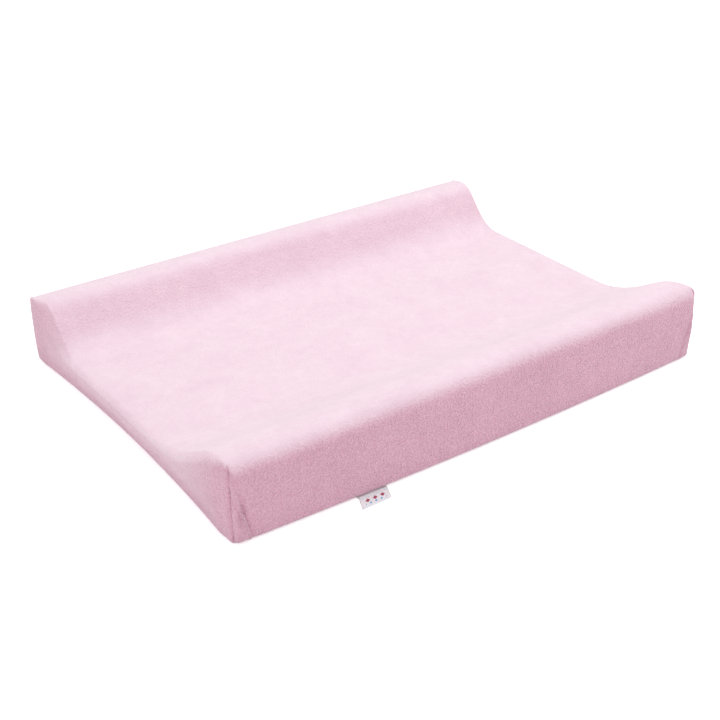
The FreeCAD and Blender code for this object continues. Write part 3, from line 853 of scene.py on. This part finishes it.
def wedge_mesh(cover, liner, side):
    """One foam wedge: its section is swept along the pad, rounded at its outer corners."""
    gap, end_gap, edge, end_slope, end_width = 0.002, 0.004, 0.0008, 0.5, 0.018
    radius, rim = 0.024, 0.010
    inset = liner.inset + gap
    outer = cover.half_width - inset
    half_x = cover.half_length - inset - end_gap
    floor = liner.slab_top + liner.foam_gap
    toe = end_gap + (cover.toe_front if side < 0 else cover.toe_back)
    stations = half_x * np.sin(np.linspace(-1, 1, 90) * math.pi / 2)
    share = np.linspace(0, 1, 36)
    points = []
    for x in stations:
        past = max(abs(x) - (half_x - radius), 0)
        reach = outer - radius + math.sqrt(max(radius ** 2 - past ** 2, 0))
        y = toe + (reach - toe) * share
        drop = rim - np.sqrt(np.maximum(rim ** 2 - np.maximum(y - (reach - rim), 0) ** 2, 0))
        end_drop = end_slope * max(abs(x) - (half_x - end_width), 0)
        height = bank_section(side * y, cover) - inset - drop - end_drop
        height = np.maximum(height, floor + edge)
        points.append(np.column_stack([
            np.full(2 * len(y), x), side * np.concatenate([y, y[::-1]]),
            np.concatenate([height, np.full_like(y, floor)])]))
    points = bend(np.concatenate(points), cover)
    columns = 2 * len(share)
    faces = grid_faces(len(stations), columns, True)
    last = (len(stations) - 1) * columns
    faces.append(tuple(range(columns))[::-1])
    faces.append(tuple(last + k for k in range(columns)))
    if side > 0:
        faces = [face[::-1] for face in faces]
    return points, faces


# ---------------------------------------------------------- hem, tag and label

def ring_stations(half_x, half_y, radius, step):
    """Places evenly spaced round a rounded rectangle, with their outward normals."""
    total = 4 * (half_x + half_y) - 8 * radius + 2 * math.pi * radius
    dense = plan_ring(half_x, half_y, radius, (1200, 800))
    gaps = np.linalg.norm(np.diff(dense[:, :2], axis=0, append=dense[:1, :2]), axis=1)
    travelled = np.concatenate([[0], np.cumsum(gaps)])
    count = round(total / step)
    wanted = np.arange(count) * travelled[-1] / count
    closed = np.concatenate([dense, dense[:1]])
    placed = [np.interp(wanted, travelled, closed[:, k]) for k in range(4)]
    return wanted, np.stack(placed[:2], 1), np.stack(placed[2:], 1)


def hem_mesh(cover, hem):
    """The binding: a strip folded over the cover's edge and the elastic, and puckered by it."""
    s, place, normal = ring_stations(hem_high.x, hem_high.y, cover.hem_corner, 0.0014)
    height = hem_high.z
    width = hem.width
    fold = height / 2 - hem.cloth / 2
    turns = np.linspace(-math.pi / 2, math.pi / 2, 9)
    leg = np.linspace(0, width - fold - hem.cloth / 2, 10)
    inset = np.concatenate([leg[:-1], leg[-1] + fold * np.cos(turns), leg[-2::-1]])
    level = np.concatenate([np.full(9, -fold), fold * np.sin(turns), np.full(9, fold)])
    phase = 2 * math.pi * s / hem.pucker_pitch + 2.2 * wander(s, 0.11, 31)
    pucker = np.sin(phase) * (0.75 + 0.25 * wander(s, 0.05, 32))
    scallop = np.sin(phase + 0.9) * 0.4 + wander(s, 0.03, 33) * 0.5
    rows = []
    for depth, up in zip(inset, level):
        held = math.sin(math.pi * min(max(depth / width, 0), 1)) ** 2
        across = depth + hem.pucker_depth * scallop * (1 if depth > width / 2 else 0.6)
        rise = hem.pucker_depth * pucker * (0.5 + 0.5 * held) * 0.9
        squeeze = np.clip(height / 2 + up * (1 - 0.12 * held) + rise * np.sign(up or 1),
                          hem.cloth / 2 + 0.00005, None)
        plan = place - normal * across[:, None]
        rows.append(np.column_stack([plan, squeeze]))
    return np.stack(rows, 1).reshape(-1, 3), grid_faces(len(s), len(inset), closed=True)


def tag_mesh(labels):
    """The side tag: a woven loop, sewn in under the cover and folded at its free end."""
    low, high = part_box("side_tag")
    root_low, root_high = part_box("side_tag_root")
    length = high.y - low.y
    width = labels.tag_width
    layer = labels.tape_thickness
    middle, fold = (low.z + high.z) / 2, (high.z - low.z - layer) / 2
    outward = np.linspace(high.y - root_high.y, length - fold - layer / 2, 46)
    turn = np.linspace(math.pi / 2, -math.pi / 2, 7)[1:-1]
    reach = np.concatenate([outward, outward[-1] + fold * np.cos(turn), outward[::-1]])
    level = middle + fold * np.concatenate([np.ones(46), np.sin(turn), -np.ones(46)])
    across = np.linspace(0, 1, 27)
    points, cloth = [], []
    for distance, up in zip(reach, level):
        free = max(distance, 0) / length
        for share in across:
            bow = labels.tag_bow * 4 * share * (1 - share) * free
            x = root_low.x + width * share - labels.tag_slant * free
            y = high.y - distance * (1 - 0.02 * abs(share - 0.5) * free)
            lift = labels.curl * free ** 2 * (0.55 + 0.45 * share) + bow
            points.append((x, y, up + lift))
            cloth.append((width * (share - 0.5), distance))
    return points, grid_faces(len(reach), len(across)), cloth


def care_label_mesh(labels):
    """The blank care label: held in the binding, its free end dipping towards the floor."""
    low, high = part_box("care_label")
    along = np.linspace(0, 1, 30)
    across = np.linspace(0, 1, 20)
    points, cloth = [], []
    for far in along:
        for share in across:
            x = low.x + (high.x - low.x) * far
            y = low.y + (high.y - low.y) * share
            dip = labels.label_dip * smooth_step(np.array((far - 0.35) / 0.65))
            wave = 0.0006 * math.sin(math.pi * share) * far
            points.append((x, y, (low.z + high.z) / 2 - float(dip) + wave))
            cloth.append(((high.x - low.x) * far, (high.y - low.y) * (share - 0.5)))
    return points, grid_faces(len(along), len(across)), cloth


# --------------------------------------------------------------------- settings

def number(name, description, default, high=1000.0, **more):
    return bpy.props.FloatProperty(name=name, description=description, default=default, max=high,
                                   **more)


def metres(name, description, default, high=1.0):
    return number(name, description, default, high, min=0.0, subtype="DISTANCE", unit="LENGTH")


def degrees(name, description, default):
    return number(name, description, math.radians(default), subtype="ANGLE", unit="ROTATION")


def colour(name, description, *default):
    return bpy.props.FloatVectorProperty(name=name, description=description, default=default,
                                         min=0.0, max=1.0, size=3, subtype="COLOR")


def whole(name, description, default):
    return bpy.props.IntProperty(name=name, description=description, default=default, min=1)


cover_low, cover_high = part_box("fitted_cover")
hem_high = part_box("hem_binding")[1]


class TowellingCoverSettings(bpy.types.PropertyGroup):
    half_length: metres("Half length", "Half of the covered pad's length", 0.351)
    half_width: metres("Half width", "Half of the covered pad's width", 0.2515)
    peak_height: metres("Peak height", "Top of the raised banks", 0.0990)
    trough_height: metres("Lying height", "Height of the lying surface", 0.0493)
    toe_front: metres("Front toe", "Foot of the front bank from the middle", 0.123)
    toe_back: metres("Back toe", "Foot of the back bank from the middle", 0.1525)
    slope_front: degrees("Front slope", "Slope of the cloth up the front bank", 29.3)
    slope_back: degrees("Back slope", "Slope of the cloth up the back bank", 46.5)
    bridge_front: metres("Front bridging", "Cloth bridging over the front toe", 0.024)
    bridge_back: metres("Back bridging", "Cloth bridging over the back toe", 0.022)
    crest_front: metres("Front crest", "Rounding along the front crest", 0.013)
    crest_back: metres("Back crest", "Rounding along the back crest", 0.010)
    crest_fall: number("Crest fall", "Slope of the back crest's outer part", 0.2)
    rim_end: metres("End rim", "Round from the top on to the ends", 0.0085)
    rim_side: metres("Side rim", "Round from the crests on to the long sides", 0.020)
    end_roll: metres("End roll", "Drop of the lying surface at its ends", 0.0055)
    end_roll_width: metres("End roll width", "Length of the ends' soft roll", 0.030)
    base_radius: metres("Base radius", "Round from the walls on to the underside", 0.0055)
    corner_top: metres("Corner at the top", "Plan radius of the corners' tops", 0.009)
    corner_base: metres("Corner at the base", "Plan radius of the corners' feet", 0.010)
    end_bow: metres("End bow", "How far the ends draw in at the foot", 0.0125)
    end_bow_top: metres("End bow at the top", "How far the ends draw in at the rim", 0.0012)
    side_swell: metres("Side swell", "How far the front swells at the foot", 0.0075)
    side_swell_top: metres("Side swell at the top", "How far the crests swell", 0.001)
    wall_crown: metres("Wall crown", "How far the walls bulge", 0.0012)
    lift: metres("Lift", "Underside above the floor", cover_low.z)
    flange: metres("Turn-under", "Cover turned under to the hem", cover_high.x - hem_high.x)
    tuck: metres("Tuck", "Cover inside the binding", 0.0035)
    hem_corner: metres("Hem corner", "Plan radius of the hem's corners", 0.045)
    gather_depth: metres("Gather depth", "Depth of the gathers at the hem", 0.0034)
    gather_pitch: metres("Gather pitch", "Spacing of the gathers at the hem", 0.015)
    seam_offset: metres("Seam offset", "Corner seam from the corner's middle", 0.0015)
    seam_groove: metres("Seam groove", "Depth of the corner seams", 0.0012)
    facet_width: metres("Facet width", "Slack facet from the end to the seam", 0.027)
    facet_depth: metres("Facet depth", "How far the facet falls back", 0.0055)
    cloth: metres("Cloth", "Thickness of the towelling", 0.0018)
    cut_width: metres("Cut width", "Width of the cloth before it was sewn", 0.83)
    cut_length: metres("Cut length", "Length of the cloth before it was sewn", 0.99)
    cut_area: number("Cut area", "Area of the cut, less its notched corners, in square metres", 0.71)
    cell_size: metres("Cell size", "Mesh spacing", 0.0030)
    loop_size: number("Loop size", "Spacing of the pile's loops, in millimetres", 2.3)
    sheen: number("Fuzz", "Strength of the pile's soft sheen", 0.65, 1.0)
    pile_depth: metres("Pile depth", "Depth of the pile's loops", 0.0014)
    patch_size: metres("Patch size", "Size of the pile's brushed patches", 0.045)
    # The pile colour is the towelling's own; the second colour is a paler, whiter copy of it,
    # painted on the top and upper ends as painted highlight.
    pile_colour: colour("Pile", "Pile that stands up", 0.83, 0.475, 0.60)
    highlight_colour: colour("Brushed pile", "Pile that lies flat", 0.83, 0.655, 0.735)
    pit_shade: colour("Pits", "Shade between the loops", 0.80, 0.70, 0.75)
    fuzz_colour: colour("Fuzz colour", "Colour of the pile's sheen", 1.0, 0.95, 0.97)
    rim_rows: whole("Rim rows", "Mesh rows over the rim", 8)
    wall_rows: whole("Wall rows", "Mesh rows down the walls", 28)
    base_rows: whole("Base rows", "Mesh rows under the edge", 5)
    flange_rows: whole("Flange rows", "Mesh rows over the turn-under", 16)


class HemSettings(bpy.types.PropertyGroup):
    width: metres("Width", "Binding as seen from below", 0.014)
    cloth: metres("Cloth", "Thickness of the binding's cloth", 0.001)
    strip_width: metres("Strip width", "Binding before it is folded", 0.030)
    strip_length: metres("Strip length", "Binding before it is gathered", 2.2, 4.0)
    pucker_pitch: metres("Pucker pitch", "Spacing of the elastic's puckers", 0.0068)
    pucker_depth: metres("Pucker depth", "Depth of the elastic's puckers", 0.0009)
    stitch_length: metres("Stitch length", "Length of one hem stitch", 0.0030)
    stitch_pitch: metres("Stitch pitch", "Hem stitch spacing", 0.0043)
    thread_width: metres("Thread width", "Sewing thread", 0.0006)
    stitch_inset: metres("Stitch inset", "Stitching from the binding's edge", 0.003)
    stitch_level: metres("Stitch level", "Lower stitches above the floor", 0.0006)
    binding_colour: colour("Binding", "Colour of the binding", 0.80, 0.42, 0.55)
    thread_colour: colour("Thread", "Colour of the sewing thread", 0.90, 0.60, 0.70)
    elastic_colour: colour("Elastic", "Colour of the elastic", 0.85, 0.84, 0.82)


class LinerSettings(bpy.types.PropertyGroup):
    inset: metres("Inset", "Liner inside the cover's outer face", 0.0035)
    lift: metres("Lift", "Underside of the liner above the floor", 0.008)
    thickness: metres("Thickness", "Coated cloth", 0.001)
    slot_half_length: metres("Slot half length", "Half of the zip opening", 0.265)
    slot_half_width: metres("Slot half width", "Half of the slot's width", 0.0044)
    cells_along: whole("Cells along", "Mesh cells along the liner", 156)
    cells_across: whole("Cells across", "Mesh cells across the liner", 110)
    wrap_width: metres("Wrap width", "Wrap panel, the way round the section", 1.18, 4.0)
    wrap_length: metres("Wrap length", "Wrap panel along the pad", 0.693)
    end_width: metres("End width", "End panel across the pad", 0.493)
    end_height: metres("End height", "End panel at its banks", 0.086)
    end_area: number("End area", "End panel less its dip, in square metres", 0.0258)
    wrinkle_depth: metres("Wrinkles", "Depth of the liner's wrinkles", 0.0012)
    piping_radius: metres("Piping radius", "Piping in the end seams", 0.0011)
    foam_gap: metres("Foam gap", "Clearance round the foam", 0.001)
    slab_top: metres("Slab top", "Top of the foam slab", 0.0395)
    coating_colour: colour("Coating", "Colour of the coated liner", 0.80, 0.82, 0.85)
    piping_colour: colour("Piping", "Colour of the piping", 0.62, 0.66, 0.72)
    foam_colour: colour("Foam", "Colour of the foam", 0.86, 0.82, 0.68)
    tape_colour: colour("Zip tape", "Colour of the zip's tape", 0.78, 0.79, 0.80)
    teeth_colour: colour("Zip teeth", "Colour of the zip's teeth", 0.84, 0.84, 0.84)
    metal_colour: colour("Slider", "Colour of the slider's paint", 0.80, 0.80, 0.81)


class LabelSettings(bpy.types.PropertyGroup):
    tag_width: metres("Tag width", "Width of the woven tape", 0.039)
    tag_slant: metres("Tag slant", "Free end's shift to the left", 0.0085)
    tag_bow: metres("Tag bow", "How far the tape arches across its width", 0.0006)
    curl: metres("Curl", "How far the tag lifts at its free end", 0.0012)
    tape_thickness: metres("Tape thickness", "One layer of the tape", 0.00022)
    label_thickness: metres("Label thickness", "The care label's cloth", 0.0003)
    label_dip: metres("Label dip", "How far the care label hangs", 0.002)
    tape_colour: colour("Tape", "Colour of the woven tape", 0.96, 0.97, 0.98)
    rose_colour: colour("Rose", "Rose thread of the motif", 0.42, 0.05, 0.12)
    sky_colour: colour("Sky", "Sky blue thread of the motif", 0.13, 0.50, 0.78)
    mist_colour: colour("Mist", "Pale blue thread of the borders", 0.60, 0.74, 0.88)
    label_colour: colour("Care label", "Colour of the blank label", 0.90, 0.90, 0.88)


class StageSettings(bpy.types.PropertyGroup):
    azimuth: degrees("Azimuth", "Camera's turn about the pad", -35.8)
    elevation: degrees("Elevation", "Camera's height angle", 29.0)
    roll: degrees("Roll", "Camera's roll", -0.17)
    distance: metres("Distance", "Camera to the pad", 1.666, 10.0)
    lens: number("Lens", "Focal length in millimetres", 63.3)
    shift_x: number("Shift X", "Camera's sideways shift", -0.0043)
    shift_y: number("Shift Y", "Camera's upward shift", -0.0039)
    key_power: number("Key power", "Main soft light in watts", 25.0)
    side_power: number("Side power", "Left light in watts", 5.5)
    sky_strength: number("Sky strength", "All-round light", 0.75)
    floor_half: metres("Floor half", "Half of the floor's width", 60.0, 100.0)
    floor_colour: colour("Floor", "Floor colour", 0.97, 0.97, 0.97)
    floor_glow: number("Floor glow", "Light from the floor, as the camera sees it", 0.5)


# -------------------------------------------------------------------- operators

def thicken(piece, thickness, offset):
    """Gives a cloth surface its thickness; offset -1 puts it all behind the face."""
    solid = piece.modifiers.new("thickness", "SOLIDIFY")
    solid.thickness = thickness
    solid.offset = offset


def stand_for(piece, slot, *nodes):
    """Hides the frame nodes that a piece stands in for."""
    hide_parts(*nodes)


def paint(material, *nodes):
    """Gives frame nodes their finish."""
    for name in nodes:
        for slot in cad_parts[name].material_slots:
            slot.material = material


class PAD_OT_towelling_cover(bpy.types.Operator):
    """Make the fitted towelling cover"""
    bl_idname = "changing_pad.towelling_cover"
    bl_label = "Towelling Cover"

    def execute(self, context):
        cover = context.scene.pad_cover
        piece = make_piece("towelling_cover", *cover_mesh(cover),
                           towelling_material("pink_towelling", cover))
        painted_highlight_share(piece, cover)
        thicken(piece, cover.cloth, -1)
        stand_for(piece, "cover", "fitted_cover")
        return {"FINISHED"}


class PAD_OT_gathered_hem(bpy.types.Operator):
    """Make the puckered binding round the opening, its elastic and its stitching"""
    bl_idname = "changing_pad.gathered_hem"
    bl_label = "Gathered Hem"

    def execute(self, context):
        cover, hem = context.scene.pad_cover, context.scene.pad_hem
        binding = woven_material("binding_jersey", hem.binding_colour, 0.9, sheen=0.3)
        piece = make_piece("gathered_hem", *hem_mesh(cover, hem), binding)
        thicken(piece, hem.cloth * 0.9, 0)
        stand_for(piece, "hem", "hem_binding")
        inset = hem.stitch_inset
        s, place, normal = ring_stations(hem_high.x - inset, hem_high.y - inset,
                                         cover.hem_corner - inset, hem.stitch_pitch)
        heading = np.column_stack([-normal[:, 1], normal[:, 0], np.zeros(len(s))])
        thread = thread_material("pink_thread", hem.thread_colour)
        for where, level, up in (("below", hem.stitch_level, -1), ("above", hem_high.z, 1)):
            seats = np.column_stack([place, np.full(len(s), level)])
            stitches = stitch_row(f"hem_stitches_{where}", seats, heading, (0, 0, up),
                                  hem.stitch_length, hem.thread_width, thread)
        paint(elastic_material("woven_elastic", hem.elastic_colour), "hem_elastic")
        return {"FINISHED"}


class PAD_OT_liner(bpy.types.Operator):
    """Make the wipe-clean liner, its end panels and its piping"""
    bl_idname = "changing_pad.liner"
    bl_label = "Liner"

    def execute(self, context):
        cover, liner = context.scene.pad_cover, context.scene.pad_liner
        points, wrap, ends, seams = liner_meshes(cover, liner)
        coating = coated_material("coated_cloth", liner.coating_colour)
        braid = woven_material("piping_braid", liner.piping_colour, 0.7)
        slot = 4 * liner.slot_half_length * liner.slot_half_width
        self.make_cloth("wrap", "wrap_panel", points, wrap, coating, liner,
                        (liner.wrap_width, liner.wrap_length),
                        liner.wrap_width * liner.wrap_length - slot)
        middle = np.array((0, 0, cover.trough_height / 2))
        for side, where in ((1, "right"), (3, "left")):
            self.make_cloth(f"end_{where}", f"end_panel_{where}", points, ends[side], coating,
                            liner, (liner.end_width, liner.end_height), liner.end_area)
            path = seams[side] + (middle - seams[side]) * 0.0025
            tube = make_piece(f"piping_{where}",
                              *tube_round(path, liner.piping_radius, 10, path.mean(0)), braid)
            stand_for(tube, "piping", f"liner_piping_{where}")
        return {"FINISHED"}

    def make_cloth(self, name, node_name, points, faces, coating, liner, flat, area):
        piece = make_piece(f"liner_{name}", *used_only(points, faces), coating)
        thicken(piece, liner.thickness, -1)
        stand_for(piece, "liner", f"liner_{node_name}")


class PAD_OT_foam(bpy.types.Operator):
    """Make the foam slab and the two foam wedges"""
    bl_idname = "changing_pad.foam"
    bl_label = "Foam"

    def execute(self, context):
        cover, liner = context.scene.pad_cover, context.scene.pad_liner
        foam = foam_material("open_cell_foam", liner.foam_colour)
        gap = liner.thickness + liner.foam_gap
        slab = PaddedForm(cover, liner.inset + gap, liner.lift + gap, (110, 78), (0.024, 0.024),
                          rims=(0.005, 0.005), base=0.004,
                          section=lambda y: np.full_like(y, liner.slab_top))
        parts = (("slab", "base_slab", closed_form(slab, (4, 6, 4))[:2]),
                 ("bank_front", "wedge_front", wedge_mesh(cover, liner, -1)),
                 ("bank_back", "wedge_back", wedge_mesh(cover, liner, 1)))
        for name, node_name, mesh in parts:
            piece = make_piece(f"foam_{name}", *mesh, foam)
            stand_for(piece, "foam", f"foam_{node_name}")
        return {"FINISHED"}


class PAD_OT_zip(bpy.types.Operator):
    """Finish the zip and sew its tapes to the liner"""
    bl_idname = "changing_pad.zip"
    bl_label = "Zip"

    def execute(self, context):
        liner = context.scene.pad_liner
        paint(woven_material("zip_tape_weave", liner.tape_colour, 0.6),
              "zip_tape_front", "zip_tape_back")
        paint(hard_material("zip_teeth_resin", liner.teeth_colour, 0.35, 600.0),
              "zip_teeth_front", "zip_teeth_back")
        paint(hard_material("slider_enamel", liner.metal_colour, 0.3, 300.0, depth=0.06),
              "zip_slider", "zip_pull", "zip_top_stops", "zip_bottom_stop")
        thread = thread_material("white_thread", liner.tape_colour)
        half_run, pitch, length, width = 0.262, 0.0036, 0.0026, 0.0005
        x = np.arange(-half_run, half_run + 0.0001, pitch)
        for side, sign in (("front", -1), ("back", 1)):
            for row, inset in (("inner", 0.0065), ("outer", 0.0112)):
                seats = np.column_stack([x, np.full(len(x), sign * inset),
                                         np.full(len(x), liner.lift)])
                stitches = stitch_row(f"zip_stitches_{side}_{row}", seats, (1, 0, 0),
                                      (0, 0, -1), length, width, thread)
        return {"FINISHED"}


class PAD_OT_labels(bpy.types.Operator):
    """Make the woven side tag and the blank care label"""
    bl_idname = "changing_pad.labels"
    bl_label = "Labels"

    def execute(self, context):
        labels = context.scene.pad_labels
        points, faces, cloth = tag_mesh(labels)
        tag = make_piece("woven_tag", points, faces, tag_material("woven_satin_tag", labels),
                         body=None)
        add_uv(tag, cloth)
        thicken(tag, labels.tape_thickness, 0)
        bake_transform(tag)
        stand_for(tag, "tag", "side_tag", "side_tag_root")
        points, faces, cloth = care_label_mesh(labels)
        label = make_piece("care_label_blank", points, faces,
                           label_material("label_satin", labels))
        add_uv(label, cloth)
        thicken(label, labels.label_thickness, 0)
        stand_for(label, "label", "care_label")
        return {"FINISHED"}


class PAD_OT_stage(bpy.types.Operator):
    """Make the floor, the lights and the camera"""
    bl_idname = "changing_pad.stage"
    bl_label = "Stage"

    def execute(self, context):
        scene, stage = context.scene, context.scene.pad_stage
        finish = Finish("pale_floor", 0.7)
        seen = node(finish.tree, "ShaderNodeLightPath", "Is Camera Ray")
        finish.give(Base_Color=stage.floor_colour, Emission_Color=(1, 1, 1),
                    Emission_Strength=seen * stage.floor_glow)
        half = stage.floor_half
        corners = [(-half, -half, 0), (half, -half, 0), (half, half, 0), (-half, half, 0)]
        make_piece("floor", corners, [(0, 1, 2, 3)], finish.material, body=None)
        scene.view_settings.view_transform = "Standard"
        scene.world = scene.world or bpy.data.worlds.new("studio")
        scene.world.use_nodes = True
        background = scene.world.node_tree.nodes["Background"]
        background.inputs["Color"].default_value = WHITE
        background.inputs["Strength"].default_value = stage.sky_strength
        self.add_light("key", (0.5, 0.0, 2.1), 1.8, stage.key_power)
        self.add_light("side", (-2.2, 0.6, 1.2), 1.6, stage.side_power)
        self.add_camera(scene, stage)
        return {"FINISHED"}

    def add_light(self, name, place, size, power):
        light = bpy.data.lights.new(name, "AREA")
        light.size = size
        light.energy = power
        lamp = bpy.data.objects.new(name, light)
        lamp.location = place
        lamp.rotation_euler = Vector(place).to_track_quat("Z", "Y").to_euler()
        bpy.context.scene.collection.objects.link(lamp)

    def add_camera(self, scene, stage):
        lens = bpy.data.cameras.new("camera")
        lens.sensor_width = 36
        lens.lens = stage.lens
        lens.shift_x, lens.shift_y = stage.shift_x, stage.shift_y
        camera = bpy.data.objects.new("camera", lens)
        level = math.cos(stage.elevation)
        back = Vector((math.sin(stage.azimuth) * level, -math.cos(stage.azimuth) * level,
                       math.sin(stage.elevation)))
        camera.location = back * stage.distance
        camera.rotation_euler = back.to_track_quat("Z", "Y").to_euler()
        camera.rotation_euler.rotate_axis("Z", stage.roll)
        scene.collection.objects.link(camera)
        scene.camera = camera


SETTINGS = {
    "pad_cover": TowellingCoverSettings,
    "pad_hem": HemSettings,
    "pad_liner": LinerSettings,
    "pad_labels": LabelSettings,
    "pad_stage": StageSettings,
}
OPERATORS = (PAD_OT_foam, PAD_OT_liner, PAD_OT_zip, PAD_OT_towelling_cover, PAD_OT_gathered_hem,
             PAD_OT_labels, PAD_OT_stage)


class PAD_PT_panel(bpy.types.Panel):
    """Makes the changing pad's pieces"""
    bl_label = "Changing Pad"
    bl_idname = "PAD_PT_panel"
    bl_space_type = "VIEW_3D"
    bl_region_type = "UI"
    bl_category = "Changing Pad"

    def draw(self, context):
        for operator in OPERATORS:
            self.layout.operator(operator.bl_idname)
        for name, settings in SETTINGS.items():
            box = self.layout.box()
            for key in settings.__annotations__:
                box.prop(getattr(context.scene, name), key)


def register():
    for name, settings in SETTINGS.items():
        bpy.utils.register_class(settings)
        setattr(bpy.types.Scene, name, bpy.props.PointerProperty(type=settings))
    for cls in (*OPERATORS, PAD_PT_panel):
        bpy.utils.register_class(cls)


def unregister():
    for cls in reversed((*OPERATORS, PAD_PT_panel)):
        bpy.utils.unregister_class(cls)
    for name, settings in SETTINGS.items():
        delattr(bpy.types.Scene, name)
        bpy.utils.unregister_class(settings)


def main():
    register()
    bpy.ops.changing_pad.foam()
    bpy.ops.changing_pad.liner()
    bpy.ops.changing_pad.zip()
    bpy.ops.changing_pad.towelling_cover()
    bpy.ops.changing_pad.gathered_hem()
    bpy.ops.changing_pad.labels()
    bpy.ops.changing_pad.stage()


if __name__ == "__main__":
    main()
